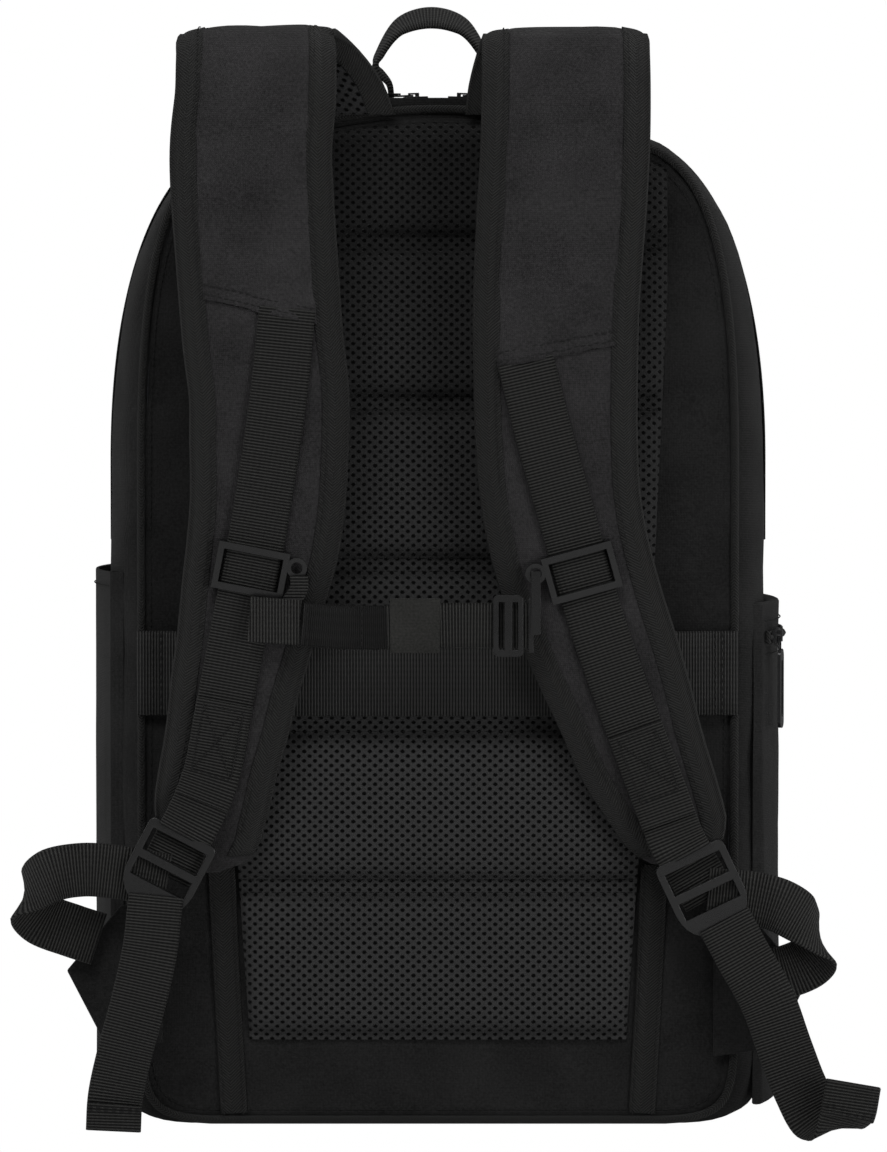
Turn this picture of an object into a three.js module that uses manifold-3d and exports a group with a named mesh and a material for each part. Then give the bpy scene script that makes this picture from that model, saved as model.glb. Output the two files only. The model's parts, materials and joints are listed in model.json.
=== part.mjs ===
// School backpack, built as it is sewn: shells, panels, pads, straps, buckles and zips.
// Millimetres, +Z up. The origin is the centre of the base on the ground, the harness
// side faces -Y and +X is to the right of someone looking at the harness.
import * as THREE from "three";
import { mergeVertices } from "three/addons/utils/BufferGeometryUtils.js";
import Module from "manifold-3d";

const wasm = await Module();
wasm.setup();

// ---- Driving dimensions -------------------------------------------------------------
const BODY_HEIGHT = 462; // base to the top of the arch
const BODY_WIDTH = 299; // across the gusset
const BODY_DEPTH = 150; // harness face to front face
const WALL = 3; // padded shell wall
const GAP = 0.4; // clearance between pieces that are sewn face to face
const SEAM_GAP = 0.3; // clearance at a cut between two shell panels
const SHELL_SPLIT_Y = -30; // the main zip's plane
const FLAP_FOLD_Z = 256; // height at which the front folds open, above the side pockets
const PIPING_RADIUS = 1.8;

const PAD_TOP = 436; // back panel padding
const PAD_BOTTOM = 43;
const PAD_ROWS = 6; // the lowest and the highest row take up what the pitch leaves
const PAD_CHANNEL = 7.5; // height of the valley between two rows
const PAD_FIRST_CHANNEL = 108.8; // middle of the lowest valley
const PAD_PITCH = 72.4;
const PAD_THICKNESS = 10;
const MESH_THICKNESS = 1.4;

const WEBBING_WIDTH = 25;
const WEBBING_THICKNESS = 1.6;
const STERNUM_WIDTH = 20;
const STRAP_THICKNESS = 12;
const LUGGAGE_BAND_WIDTH = 38;
const LUGGAGE_BAND_Z = 205;

const LOCK_WIDTH = 33; // ladder-lock buckle
const LOCK_LENGTH = 37;
const LOCK_BAR = 4;
const SLIDER_LENGTH = 21; // sternum slider, along the shoulder webbing
const SLIDER_BAR = 3;

const HANDLE_SPAN = 44;
const HANDLE_RISE = 36;
const HANDLE_Y = -58;

const ZIP_TAPE = 5.6; // width of one half of a zip
const ZIP_THICKNESS = 1.4;
const PULL_LENGTH = 30;
const SIDE_PULL_LENGTH = 36;
const PULL_WIDTH = 8;

const POCKET_BULGE = 8.5; // how far a side pocket stands off the gusset
const BOTTLE_POCKET_TOP = 250;
const ZIP_POCKET_TOP = 236;
const POCKET_FLOOR = 8;
const FRONT_POCKET_TOP = 226;
const FRONT_POCKET_DEPTH = 25;

// ---- Finishes -----------------------------------------------------------------------
const finish = (color, roughness, metalness = 0) => ({ color, roughness, metalness });
const FABRIC = finish(0x232324, 0.9);
const LINING = finish(0x3a3b3d, 0.85);
const MESH = finish(0x1d1d1e, 0.95);
const STRAP = finish(0x2d2c2d, 0.9);
const WEBBING = finish(0x232321, 0.8);
const FOAM = finish(0x4a4a4a, 0.95);
const BOARD = finish(0x303236, 0.6);
const PLASTIC = finish(0x222224, 0.45);
const ZIP = finish(0x1b1b1c, 0.7);
const METAL = finish(0x2e2e30, 0.35, 0.8);

const backpack = new THREE.Group();

function piece(name, geometry, look) {
  const mesh = new THREE.Mesh(geometry, new THREE.MeshStandardMaterial(look));
  mesh.name = name;
  backpack.add(mesh);
  return mesh;
}

// ---- Shape helpers ------------------------------------------------------------------
const v3 = (x, y, z) => new THREE.Vector3(x, y, z);
const X_AXIS = v3(1, 0, 0);
const Y_AXIS = v3(0, 1, 0);
const Z_AXIS = v3(0, 0, 1);

function bufferGeometry(points, faces) {
  const geometry = new THREE.BufferGeometry();
  geometry.setAttribute("position", new THREE.Float32BufferAttribute(points, 3));
  geometry.setIndex(faces);
  return geometry;
}

// Skins a run of rings that all have the same number of points, facing outwards.
function loft(rings, closed = false) {
  const count = rings[0].length;
  const points = rings.flat().flatMap((p) => [p.x, p.y, p.z]);
  const faces = [];
  const bands = closed ? rings.length : rings.length - 1;
  for (let i = 0; i < bands; i++) {
    const next = (i + 1) % rings.length;
    for (let j = 0; j < count; j++) {
      const k = (j + 1) % count;
      const [a, b, c, d] = [i * count + j, i * count + k, next * count + k, next * count + j];
      faces.push(a, b, c, a, c, d);
    }
  }
  if (!closed) {
    for (const [ring, start, turn] of [[rings[0], 0, -1], [rings.at(-1), bands * count, 1]]) {
      const centre = ring.reduce((sum, p) => sum.add(p), v3(0, 0, 0)).divideScalar(count);
      const hub = points.length / 3;
      points.push(centre.x, centre.y, centre.z);
      for (let j = 0; j < count; j++) {
        const [a, b] = [start + j, start + ((j + 1) % count)];
        faces.push(...(turn > 0 ? [a, b, hub] : [b, a, hub]));
      }
    }
  }
  return faceOutwards(points, faces);
}

function faceOutwards(points, faces) {
  const corner = (i) => v3(points[3 * i], points[3 * i + 1], points[3 * i + 2]);
  let volume = 0;
  for (let i = 0; i < faces.length; i += 3) {
    volume += corner(faces[i]).dot(corner(faces[i + 1]).cross(corner(faces[i + 2])));
  }
  if (volume < 0) {
    for (let i = 0; i < faces.length; i += 3) {
      [faces[i], faces[i + 1]] = [faces[i + 1], faces[i]];
    }
  }
  return bufferGeometry(points, faces);
}

function toSolid(geometry) {
  const bare = geometry.clone();
  bare.deleteAttribute("normal");
  bare.deleteAttribute("uv");
  const merged = mergeVertices(bare, 1e-4);
  const triVerts = new Uint32Array(merged.index.array);
  const vertProperties = new Float32Array(merged.attributes.position.array);
  return new wasm.Manifold(new wasm.Mesh({ numProp: 3, vertProperties, triVerts }));
}

function toGeometry(solid) {
  const mesh = solid.getMesh();
  return bufferGeometry(Array.from(mesh.vertProperties), Array.from(mesh.triVerts));
}

const cut = (geometry, ...tools) =>
  toGeometry(tools.reduce((solid, tool) => solid.subtract(toSolid(tool)), toSolid(geometry)));
const keep = (geometry, tool) => toGeometry(toSolid(geometry).intersect(toSolid(tool)));
const join = (...parts) => toGeometry(parts.map(toSolid).reduce((a, b) => a.add(b)));

function block(low, high) {
  const geometry = new THREE.BoxGeometry(high.x - low.x, high.y - low.y, high.z - low.z);
  return geometry.translate((low.x + high.x) / 2, (low.y + high.y) / 2, (low.z + high.z) / 2);
}

// A rounded section about the origin: half sizes a and b, squareness from 1 (ellipse) up.
function roundSection(a, b, sides = 12, squareness = 2.6) {
  return Array.from({ length: sides }, (_, i) => {
    const angle = ((i + 0.5) * 2 * Math.PI) / sides;
    const bend = (t) => Math.sign(t) * Math.abs(t) ** (2 / squareness);
    return [a * bend(Math.cos(angle)), b * bend(Math.sin(angle))];
  });
}

const flatSection = (a, b) => [[-a, -b], [a, -b], [a, b], [-a, b]];

// Carries a section along a path. Its width lies along `across`, squared to the path.
function sweep(path, section, { across = X_AXIS, closed = false } = {}) {
  const last = path.length - 1;
  const rings = path.map((point, i) => {
    const before = path[i === 0 ? (closed ? last : 0) : i - 1];
    const after = path[i === last ? (closed ? 0 : last) : i + 1];
    const tangent = after.clone().sub(before).normalize();
    const wide = (typeof across === "function" ? across(i / last) : across).clone();
    wide.addScaledVector(tangent, -wide.dot(tangent)).normalize();
    const thick = tangent.clone().cross(wide);
    const shape = typeof section === "function" ? section(i / last) : section;
    return shape.map(([a, b]) => point.clone().addScaledVector(wide, a).addScaledVector(thick, b));
  });
  return loft(rings, closed);
}

const smoothPath = (points, steps) =>
  new THREE.CatmullRomCurve3(points.map((p) => v3(...p)), false, "centripetal").getPoints(steps);

const webbingAlong = (path, width = WEBBING_WIDTH, across = X_AXIS) =>
  sweep(path, flatSection(width / 2, WEBBING_THICKNESS / 2), { across });

// Steps between values placed along 0..1.
function along(stops, t) {
  const i = Math.max(1, stops.findIndex(([at]) => at >= t));
  const [[t0, a], [t1, b]] = [stops[i - 1], stops[i]];
  return a + ((b - a) * (t - t0)) / (t1 - t0);
}

// A plate drawn in the X-Z plane, its near face at `y`.
function plateXZ(shape, y, thickness) {
  const geometry = new THREE.ExtrudeGeometry(shape, {
    depth: thickness, bevelEnabled: false, curveSegments: 8,
  });
  return geometry.rotateX(Math.PI / 2).translate(0, y + thickness, 0);
}

function polygon(points) {
  return new THREE.Shape(points.map(([x, z]) => new THREE.Vector2(x, z)));
}

function roundedRect(width, height, radius) {
  const shape = new THREE.Shape();
  const [a, b, r] = [width / 2, height / 2, radius];
  shape.absarc(a - r, b - r, r, 0, Math.PI / 2);
  shape.absarc(-a + r, b - r, r, Math.PI / 2, Math.PI);
  shape.absarc(-a + r, -b + r, r, Math.PI, 1.5 * Math.PI);
  shape.absarc(a - r, -b + r, r, 1.5 * Math.PI, 2 * Math.PI);
  return shape;
}

// ---- Body outline -------------------------------------------------------------------
const SHOULDER_Z = BODY_HEIGHT - 162; // where the side starts to lean in
const ARCH_INSET = 53; // from the side to where the flatter arch over the top begins
const ARCH_SPREAD = 0.8; // drawn-in rings keep their shoulders square by this share
const ARCH_DROP = 17;
const CORNER = 30; // lower corner radius

// Stations through the depth: how far the side, the top and the bottom are drawn in.
const STATIONS = [
  { y: -BODY_DEPTH / 2, side: 17, top: 5, bottom: 4 },
  { y: -BODY_DEPTH / 2 + 9, side: 8, top: 2, bottom: 0 },
  { y: -BODY_DEPTH / 2 + 30, side: 1, top: 0, bottom: 0 },
  { y: 0, side: 0, top: 0, bottom: 0 },
  { y: BODY_DEPTH / 2 - 30, side: 1.5, top: 2, bottom: 0 },
  { y: BODY_DEPTH / 2 - 10, side: 9, top: 9, bottom: 0 },
  { y: BODY_DEPTH / 2, side: 21, top: 20, bottom: 5 },
];

function insetAt(y) {
  const i = Math.max(1, STATIONS.findIndex((s) => s.y >= y - 1e-9));
  const [s0, s1] = [STATIONS[i - 1], STATIONS[i]];
  const t = (y - s0.y) / (s1.y - s0.y);
  const mix = (key) => s0[key] + (s1[key] - s0[key]) * t;
  return { side: mix("side"), top: mix("top"), bottom: mix("bottom") };
}

// The arched outline at depth y, drawn in by a further `extra` all round.
function outlineAt(y, extra = 0, steps = 8, z0 = null) {
  const inset = insetAt(y);
  const half = BODY_WIDTH / 2 - inset.side - extra;
  const top = BODY_HEIGHT - inset.top - extra;
  const low = inset.bottom + extra;
  const arch = half - ARCH_INSET + ARCH_SPREAD * inset.side;
  const shape = new THREE.Shape();
  const corner = Math.max(4, CORNER - extra);
  shape.moveTo(half, z0 ?? low + corner);
  shape.lineTo(half, SHOULDER_Z);
  shape.bezierCurveTo(half, SHOULDER_Z + 85, arch + 30, top - ARCH_DROP - 11, arch, top - ARCH_DROP);
  shape.quadraticCurveTo(0, top + ARCH_DROP, -arch, top - ARCH_DROP);
  shape.bezierCurveTo(-arch - 30, top - ARCH_DROP - 11, -half, SHOULDER_Z + 85, -half, SHOULDER_Z);
  if (z0 === null) {
    shape.lineTo(-half, low + corner);
    shape.quadraticCurveTo(-half, low, -half + corner, low);
    shape.lineTo(half - corner, low);
    shape.quadraticCurveTo(half, low, half, low + corner);
  } else {
    shape.lineTo(-half, z0);
  }
  const points = shape.getPoints(steps).map((p) => v3(p.x, y, p.y));
  return z0 === null ? points.slice(0, -1) : points;
}

// ---- Shells -------------------------------------------------------------------------
const outer = loft(STATIONS.map(({ y }) => outlineAt(y)));
const innerStations = STATIONS.map(({ y }, i) => {
  if (i === 0) return outlineAt(y, WALL).map((p) => p.setY(y + WALL));
  if (i === STATIONS.length - 1) return outlineAt(y, WALL).map((p) => p.setY(y - WALL));
  return outlineAt(y, WALL);
});
const shell = cut(outer, loft(innerStations));
const FAR = BODY_HEIGHT;
const half = SEAM_GAP / 2;
const REAR_FACE = -BODY_DEPTH / 2;
const FRONT_FACE = BODY_DEPTH / 2;

piece("rear_shell", keep(shell, block(v3(-FAR, -FAR, -FAR), v3(FAR, SHELL_SPLIT_Y - half, FAR + 9))),
  FABRIC);
piece("lower_shell",
  keep(shell, block(v3(-FAR, SHELL_SPLIT_Y + half, -FAR), v3(FAR, FAR, FLAP_FOLD_Z - half))), FABRIC);
piece("front_flap",
  keep(shell, block(v3(-FAR, SHELL_SPLIT_Y + half, FLAP_FOLD_Z + half), v3(FAR, FAR, FAR + 9))),
  FABRIC);

// Stiffeners that give the back and the base their shape.
const BOARD_THICKNESS = 2;
const boardHalf = BODY_WIDTH / 2 - 30;
const boardFace = REAR_FACE + WALL + GAP;
const BACK_BOARD_HEIGHT = 350;
const BACK_BOARD_Z = 207; // its middle
const backBoard = roundedRect(2 * boardHalf, BACK_BOARD_HEIGHT, 24);
piece("back_board", plateXZ(backBoard, boardFace, BOARD_THICKNESS).translate(0, 0, BACK_BOARD_Z), BOARD);
const SLEEVE_BACK = boardFace + BOARD_THICKNESS + GAP;
piece("base_board",
  block(v3(-boardHalf + 8, SLEEVE_BACK + 32, WALL + GAP),
    v3(boardHalf - 8, FRONT_FACE - WALL - 8, WALL + GAP + 2.5)), BOARD);

// Laptop sleeve: an open-topped padded pocket against the back board, with its strap.
const SLEEVE_WIDTH = 236;
const SLEEVE_LOW = 24;
const SLEEVE_TOP = 330;
const SLEEVE_WALL = 3;
const SLEEVE_HOLD = 24; // clear depth for the computer
const sleeveDepth = SLEEVE_HOLD + 2 * SLEEVE_WALL;
const sleeveBlock = block(v3(-SLEEVE_WIDTH / 2, SLEEVE_BACK, SLEEVE_LOW),
  v3(SLEEVE_WIDTH / 2, SLEEVE_BACK + sleeveDepth, SLEEVE_TOP));
const sleeveHollow = block(
  v3(-SLEEVE_WIDTH / 2 + SLEEVE_WALL, SLEEVE_BACK + SLEEVE_WALL, SLEEVE_LOW + SLEEVE_WALL),
  v3(SLEEVE_WIDTH / 2 - SLEEVE_WALL, SLEEVE_BACK + sleeveDepth - SLEEVE_WALL, SLEEVE_TOP + 1));
piece("laptop_sleeve", cut(sleeveBlock, sleeveHollow), LINING);
const sleeveFront = SLEEVE_BACK + sleeveDepth;
const tabPath = smoothPath([
  [0, boardFace + BOARD_THICKNESS + 1.4, SLEEVE_TOP + 62],
  [0, boardFace + BOARD_THICKNESS + 3, SLEEVE_TOP + 40],
  [0, SLEEVE_BACK + 12, SLEEVE_TOP + 14], [0, sleeveFront - 3, SLEEVE_TOP + 7],
  [0, sleeveFront + 1.5, SLEEVE_TOP - 2], [0, sleeveFront + 1.7, SLEEVE_TOP - 34],
], 22);
piece("sleeve_strap", webbingAlong(tabPath, 38), WEBBING);

// ---- Padded back --------------------------------------------------------------------
const padHalf = (z) => 
  along([[-60, 84], [42, 85], [114, 90], [265, 98], [375, 104], [418, 102], [440, 84], [500, 84]], z);
const PAD_FACE = REAR_FACE - GAP;
const channelAt = (i) => PAD_FIRST_CHANNEL + i * PAD_PITCH;
const rowLow = (row) => row === 0 ? PAD_BOTTOM : channelAt(row - 1) + PAD_CHANNEL / 2;
const rowHigh = (row) => row === PAD_ROWS - 1 ? PAD_TOP : channelAt(row) - PAD_CHANNEL / 2;
for (let row = 0; row < PAD_ROWS; row++) {
  const low = rowLow(row);
  const high = rowHigh(row);
  const rings = [0, 0.3, 0.75, 1].map((t) => {
    const inset = [0, 0.6, 2.4, 7][[0, 0.3, 0.75, 1].indexOf(t)];
    const corners = [
      [-padHalf(low) + inset, low + inset], [padHalf(low) - inset, low + inset],
      [padHalf(high) - inset, high - inset], [-padHalf(high) + inset, high - inset],
    ];
    return corners.map(([x, z]) => v3(x, PAD_FACE - t * PAD_THICKNESS, z));
  });
  piece(`back_pad_${row + 1}`, loft(rings), FOAM);
}

// The spacer mesh runs over the rows and dips into the channels between them.
const meshPath = [];
const meshCrown = PAD_FACE - PAD_THICKNESS - GAP - MESH_THICKNESS / 2;
const meshValley = PAD_FACE - 1.6;
meshPath.push(v3(0, meshValley, PAD_BOTTOM - 4));
for (let row = 0; row < PAD_ROWS; row++) {
  const low = rowLow(row);
  const high = rowHigh(row);
  meshPath.push(v3(0, meshValley, low - 1.7), v3(0, meshCrown + 3.6, low - 0.2));
  meshPath.push(v3(0, meshCrown, low + 7), v3(0, meshCrown, high - 7));
  meshPath.push(v3(0, meshCrown + 3.6, high + 0.2), v3(0, meshValley, high + 1.7));
}
meshPath.push(v3(0, meshValley, PAD_TOP + 3.4));
const meshRings = meshPath.map((point, i) => {
  const before = meshPath[Math.max(0, i - 1)];
  const after = meshPath[Math.min(meshPath.length - 1, i + 1)];
  const tangent = after.clone().sub(before).normalize();
  const normal = X_AXIS.clone().cross(tangent).multiplyScalar(MESH_THICKNESS / 2);
  const reach = padHalf(point.z);
  return [[-reach, -1], [reach, -1], [reach, 1], [-reach, 1]].map(([x, side]) =>
    v3(x, point.y, point.z).addScaledVector(normal, side));
});
piece("mesh_panel", loft(meshRings), MESH);

// Yoke across the top of the back, over the strap ends' seam.
const YOKE_LOW = PAD_TOP + 4.4;
const rearArchTop = BODY_HEIGHT - STATIONS[0].top - PIPING_RADIUS - GAP;
const yoke = polygon([
  [-70, YOKE_LOW], [70, YOKE_LOW], [68, rearArchTop - 11], [40, rearArchTop - 5],
  [0, rearArchTop - 2], [-40, rearArchTop - 5], [-68, rearArchTop - 11],
]);
const YOKE_THICKNESS = 2.4;
const yokeFace = REAR_FACE - GAP - YOKE_THICKNESS;
piece("yoke_band", plateXZ(yoke, yokeFace, YOKE_THICKNESS), FABRIC);

// Piping round the back panel seam.
const pipingInset = 1.2;
const pipingPath = outlineAt(REAR_FACE, -pipingInset, 8).map((p) => p.setY(REAR_FACE - PIPING_RADIUS - GAP));
const pipingSection = roundSection(PIPING_RADIUS, PIPING_RADIUS, 6, 2);
piece("panel_piping", sweep(pipingPath, pipingSection, { across: Y_AXIS, closed: true }), STRAP);

// Tape rails from the lower corners of the mesh to the base, one on each side.
const RAIL_WIDTH = 12;
const RAIL_TOP = 118;
for (const [side, name] of [[-1, "left"], [1, "right"]]) {
  const [high, low] = [97.5 + RAIL_WIDTH / 2, 92 + RAIL_WIDTH / 2];
  const rail = polygon([
    [side * (low - RAIL_WIDTH), 6], [side * low, 6],
    [side * high, RAIL_TOP], [side * (high - RAIL_WIDTH), RAIL_TOP],
  ]);
  piece(`rail_tape_${name}`, plateXZ(rail, REAR_FACE - GAP - 1.6, 1.6), WEBBING);
}

// Band that slips over a trolley handle, sewn into both side seams.
const bandFace = meshCrown - MESH_THICKNESS / 2 - GAP - WEBBING_THICKNESS / 2;
const bandSeam = REAR_FACE - GAP - 2 * PIPING_RADIUS - GAP - WEBBING_THICKNESS / 2;
const bandReach = BODY_WIDTH / 2 - 14.5;
const bandPath = [-1, 1].flatMap((side) => {
  const stops = [
    [bandReach, bandSeam], [bandReach - 8, bandSeam], [padHalf(LUGGAGE_BAND_Z) + 5, bandFace],
  ].map(([x, y]) => v3(side * x, y, LUGGAGE_BAND_Z));
  return side < 0 ? stops : stops.reverse();
});
piece("luggage_band", webbingAlong(bandPath, LUGGAGE_BAND_WIDTH, Z_AXIS), WEBBING);

// ---- Side and front pockets ---------------------------------------------------------
// Plan outline of a side pocket, from the rear corner of the gusset to its front corner.
const sideAt = (y) => BODY_WIDTH / 2 - insetAt(y).side;
// The zip needs an even bend, so the pocket's face is an arc about a vertical axis.
const POCKET_ARC_RADIUS = 222;
const POCKET_ARC_Y = 5; // its crest
const pocketArcX = BODY_WIDTH / 2 + POCKET_BULGE - POCKET_ARC_RADIUS; // its centre, from the middle
const pocketFaceX = (y) => pocketArcX + Math.sqrt(POCKET_ARC_RADIUS ** 2 - (y - POCKET_ARC_Y) ** 2);
const POCKET_FACE_Y = [-62, -50, -38, -26, -13, 0, 13, 26, 39, 52];
const POCKET_BACK_Y = [-66, -62, -45, -26, 0, 26, 45, 58];
function pocketPlan(side, grow, seat = GAP) {
  const face = POCKET_FACE_Y.map((y) => [side * (pocketFaceX(y) + grow), y]);
  const back = POCKET_BACK_Y.map((y) => [side * (sideAt(y) + seat), y]).reverse();
  return [...face, ...back];
}
function extrudePlan(plan, low, high) {
  const geometry = new THREE.ExtrudeGeometry(polygon(plan), { depth: high - low, bevelEnabled: false });
  return geometry.translate(0, 0, low);
}
const POCKET_SKIN = 1.5;
const bottleOuter = extrudePlan(pocketPlan(-1, 0.6), POCKET_FLOOR, BOTTLE_POCKET_TOP);
const bottleInnerPlan = [
  ...POCKET_FACE_Y.slice(0, -1).map((y) => [-(pocketFaceX(y) + 0.6 - POCKET_SKIN), y]),
  [-(sideAt(50) - 6), 50], [-(sideAt(-58) - 6), -58],
];
const bottleInner = extrudePlan(bottleInnerPlan, POCKET_FLOOR + 2, BOTTLE_POCKET_TOP + 1);
piece("bottle_pocket", cut(bottleOuter, bottleInner), FABRIC);
piece("zip_pocket", extrudePlan(pocketPlan(1, -0.4), POCKET_FLOOR, ZIP_POCKET_TOP), FABRIC);

// The side zip follows the pocket's face.
const SIDE_ZIP_Z = ZIP_POCKET_TOP - 16;
const SIDE_ZIP_RADIUS = POCKET_ARC_RADIUS + GAP + ZIP_THICKNESS / 2;
const sideZipAt = (degrees, radius = SIDE_ZIP_RADIUS) => {
  const angle = (degrees * Math.PI) / 180;
  return v3(pocketArcX + radius * Math.cos(angle), POCKET_ARC_Y + radius * Math.sin(angle), SIDE_ZIP_Z);
};
const sideZipPath = [-17, -14, -11, -8, -5, -2, 1, 4, 7, 10, 12].map((angle) => sideZipAt(angle));
piece("side_zip_chain",
  sweep(sideZipPath, flatSection(ZIP_TAPE / 2, ZIP_THICKNESS / 2), { across: Z_AXIS }), ZIP);

const frontFace = FRONT_FACE + GAP;
const frontPocketRings = [[0, 0], [0.55, 3], [0.85, 9], [1, 20]].map(([t, inset]) => {
  const shape = roundedRect(224 - 2 * inset, FRONT_POCKET_TOP - 26 - 2 * inset, 30);
  const middle = (FRONT_POCKET_TOP + 26) / 2;
  return shape.getPoints(5).slice(0, -1).map((p) =>
    v3(p.x, frontFace + t * FRONT_POCKET_DEPTH, middle + p.y));
});
piece("front_pocket", loft(frontPocketRings), FABRIC);
const FRONT_ZIP_Z = FRONT_POCKET_TOP - 38;
const frontZipY = frontFace + FRONT_POCKET_DEPTH + GAP + ZIP_THICKNESS / 2;
const FRONT_ZIP_HALF = 84;
piece("front_zip_chain",
  sweep([v3(-FRONT_ZIP_HALF, frontZipY, FRONT_ZIP_Z), v3(FRONT_ZIP_HALF, frontZipY, FRONT_ZIP_Z)],
    flatSection(ZIP_TAPE, ZIP_THICKNESS / 2), { across: Z_AXIS }), ZIP);

// ---- Zips ---------------------------------------------------------------------------
// The main zip's two halves follow the arch on either side of the split.
function mainZipHalf(y) {
  const path = outlineAt(y, -GAP - ZIP_THICKNESS / 2, 8, FLAP_FOLD_Z + 4);
  return sweep(path, flatSection(ZIP_TAPE / 2, ZIP_THICKNESS / 2), { across: Y_AXIS });
}
piece("main_zip_rear", mainZipHalf(SHELL_SPLIT_Y - half - ZIP_TAPE / 2), ZIP);
piece("main_zip_front", mainZipHalf(SHELL_SPLIT_Y + half + ZIP_TAPE / 2), ZIP);

// A zip slider sits above its chain: travel along +X, chain below it. Its bridge holds the
// pull's pin, which lies across the travel, or along it where `turned`.
const EYE_X = 1.5; // the pin's place over the slider
const EYE_Z = 2.35;
function zipSlider(turned = false) {
  const shape = new THREE.Shape();
  shape.moveTo(-5.5, -2.2);
  shape.lineTo(3, -4.2);
  shape.quadraticCurveTo(6, -3, 6, 0);
  shape.quadraticCurveTo(6, 3, 3, 4.2);
  shape.lineTo(-5.5, 2.2);
  const options = { depth: 1.8, bevelEnabled: false, curveSegments: 4 };
  const body = new THREE.ExtrudeGeometry(shape, options);
  const bridge = block(v3(-1.5, -1, 1.5), v3(3.6, 1, 3.6));
  const eye = block(v3(EYE_X - 1.1, -2, EYE_Z - 0.55), v3(EYE_X + 1.1, 2, EYE_Z + 0.55));
  const loop = cut(bridge, eye);
  if (turned) loop.translate(-EYE_X, 0, 0).rotateZ(-Math.PI / 2);
  return join(body, loop);
}

// A slotted pull that hangs along +X from its pin, which lies along Y at the origin.
function zipPull(length = PULL_LENGTH) {
  const outline = roundedRect(length, PULL_WIDTH, 3.4);
  const slot = roundedRect(length - 10, PULL_WIDTH - 4.6, 1.6);
  outline.holes.push(new THREE.Path(slot.getPoints(4)));
  const options = { depth: 1.4, bevelEnabled: false, curveSegments: 4 };
  const plate = new THREE.ExtrudeGeometry(outline, options).translate(length / 2 + 5.4, 0, -0.2);
  const pin = block(v3(-0.35, -2.5, -0.3), v3(0.35, 2.5, 0.3));
  const arms = [-1, 1].map((side) =>
    block(v3(-0.35, side * 1.95 - 0.55, -0.3), v3(7, side * 1.95 + 0.55, 0.3)));
  return join(plate, pin, ...arms);
}

function placed(geometry, origin, travel, up) {
  const side = up.clone().cross(travel);
  const basis = new THREE.Matrix4().makeBasis(travel, side, up).setPosition(origin);
  return geometry.applyMatrix4(basis);
}

const ARCH_CENTRE_Z = BODY_HEIGHT - 275;
const MAIN_SLIDER_X = 10;
const chainTop = 275 + 2 * GAP + ZIP_THICKNESS;
for (const [side, name] of [[-1, "left"], [1, "right"]]) {
  const lean = (side * MAIN_SLIDER_X) / chainTop;
  const up = v3(Math.sin(lean), 0, Math.cos(lean));
  const travel = v3(side * Math.cos(lean), 0, -side * Math.sin(lean));
  const seat = v3(0, SHELL_SPLIT_Y, ARCH_CENTRE_Z).addScaledVector(up, chainTop);
  piece(`main_slider_${name}`, placed(zipSlider(), seat, travel, up), METAL);
  const pullSeat = seat.clone().addScaledVector(travel, EYE_X).addScaledVector(up, EYE_Z);
  piece(`main_pull_${name}`, placed(zipPull(), pullSeat, travel, up), METAL);
}

// Side slider at the rear end of its chain, its pull hanging towards the base.
const SIDE_SLIDER_ANGLE = -14.6;
const sideSeat = sideZipAt(SIDE_SLIDER_ANGLE, SIDE_ZIP_RADIUS + ZIP_THICKNESS / 2 + GAP);
const sideUp = v3(sideSeat.x - pocketArcX, sideSeat.y - POCKET_ARC_Y, 0).normalize();
const sideTravel = Z_AXIS.clone().cross(sideUp);
piece("side_slider", placed(zipSlider(true), sideSeat, sideTravel, sideUp), METAL);
const DOWN = v3(0, 0, -1);
const sidePin = sideSeat.clone().addScaledVector(sideUp, EYE_Z);
piece("side_pull", placed(zipPull(SIDE_PULL_LENGTH), sidePin, DOWN, sideUp), METAL);

const frontSeat = v3(-FRONT_ZIP_HALF + 10, frontZipY + ZIP_THICKNESS / 2 + GAP, FRONT_ZIP_Z);
piece("front_slider", placed(zipSlider(true), frontSeat, X_AXIS, Y_AXIS), METAL);
piece("front_pull", placed(zipPull(), frontSeat.clone().add(v3(0, EYE_Z, 0)), DOWN, Y_AXIS), METAL);

// ---- Carry handle -------------------------------------------------------------------
const handleBase = BODY_HEIGHT + 2;
const handlePath = smoothPath([
  [-18, HANDLE_Y, handleBase], [-19, HANDLE_Y, handleBase + 6], [-25, HANDLE_Y, handleBase + 14],
  [-HANDLE_SPAN / 2 - 1, HANDLE_Y, handleBase + 20], [-14, HANDLE_Y, handleBase + HANDLE_RISE - 4],
  [0, HANDLE_Y, handleBase + HANDLE_RISE],
  [14, HANDLE_Y, handleBase + HANDLE_RISE - 4], [HANDLE_SPAN / 2 + 1, HANDLE_Y, handleBase + 20],
  [25, HANDLE_Y, handleBase + 14], [19, HANDLE_Y, handleBase + 6], [18, HANDLE_Y, handleBase],
], 36);
const HANDLE_X = -3;
const handle = sweep(handlePath, flatSection(WEBBING_WIDTH / 2, 1.3), {
  across: (t) => v3(0, 1, 0.42 * Math.sin(Math.PI * t)),
});
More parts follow.
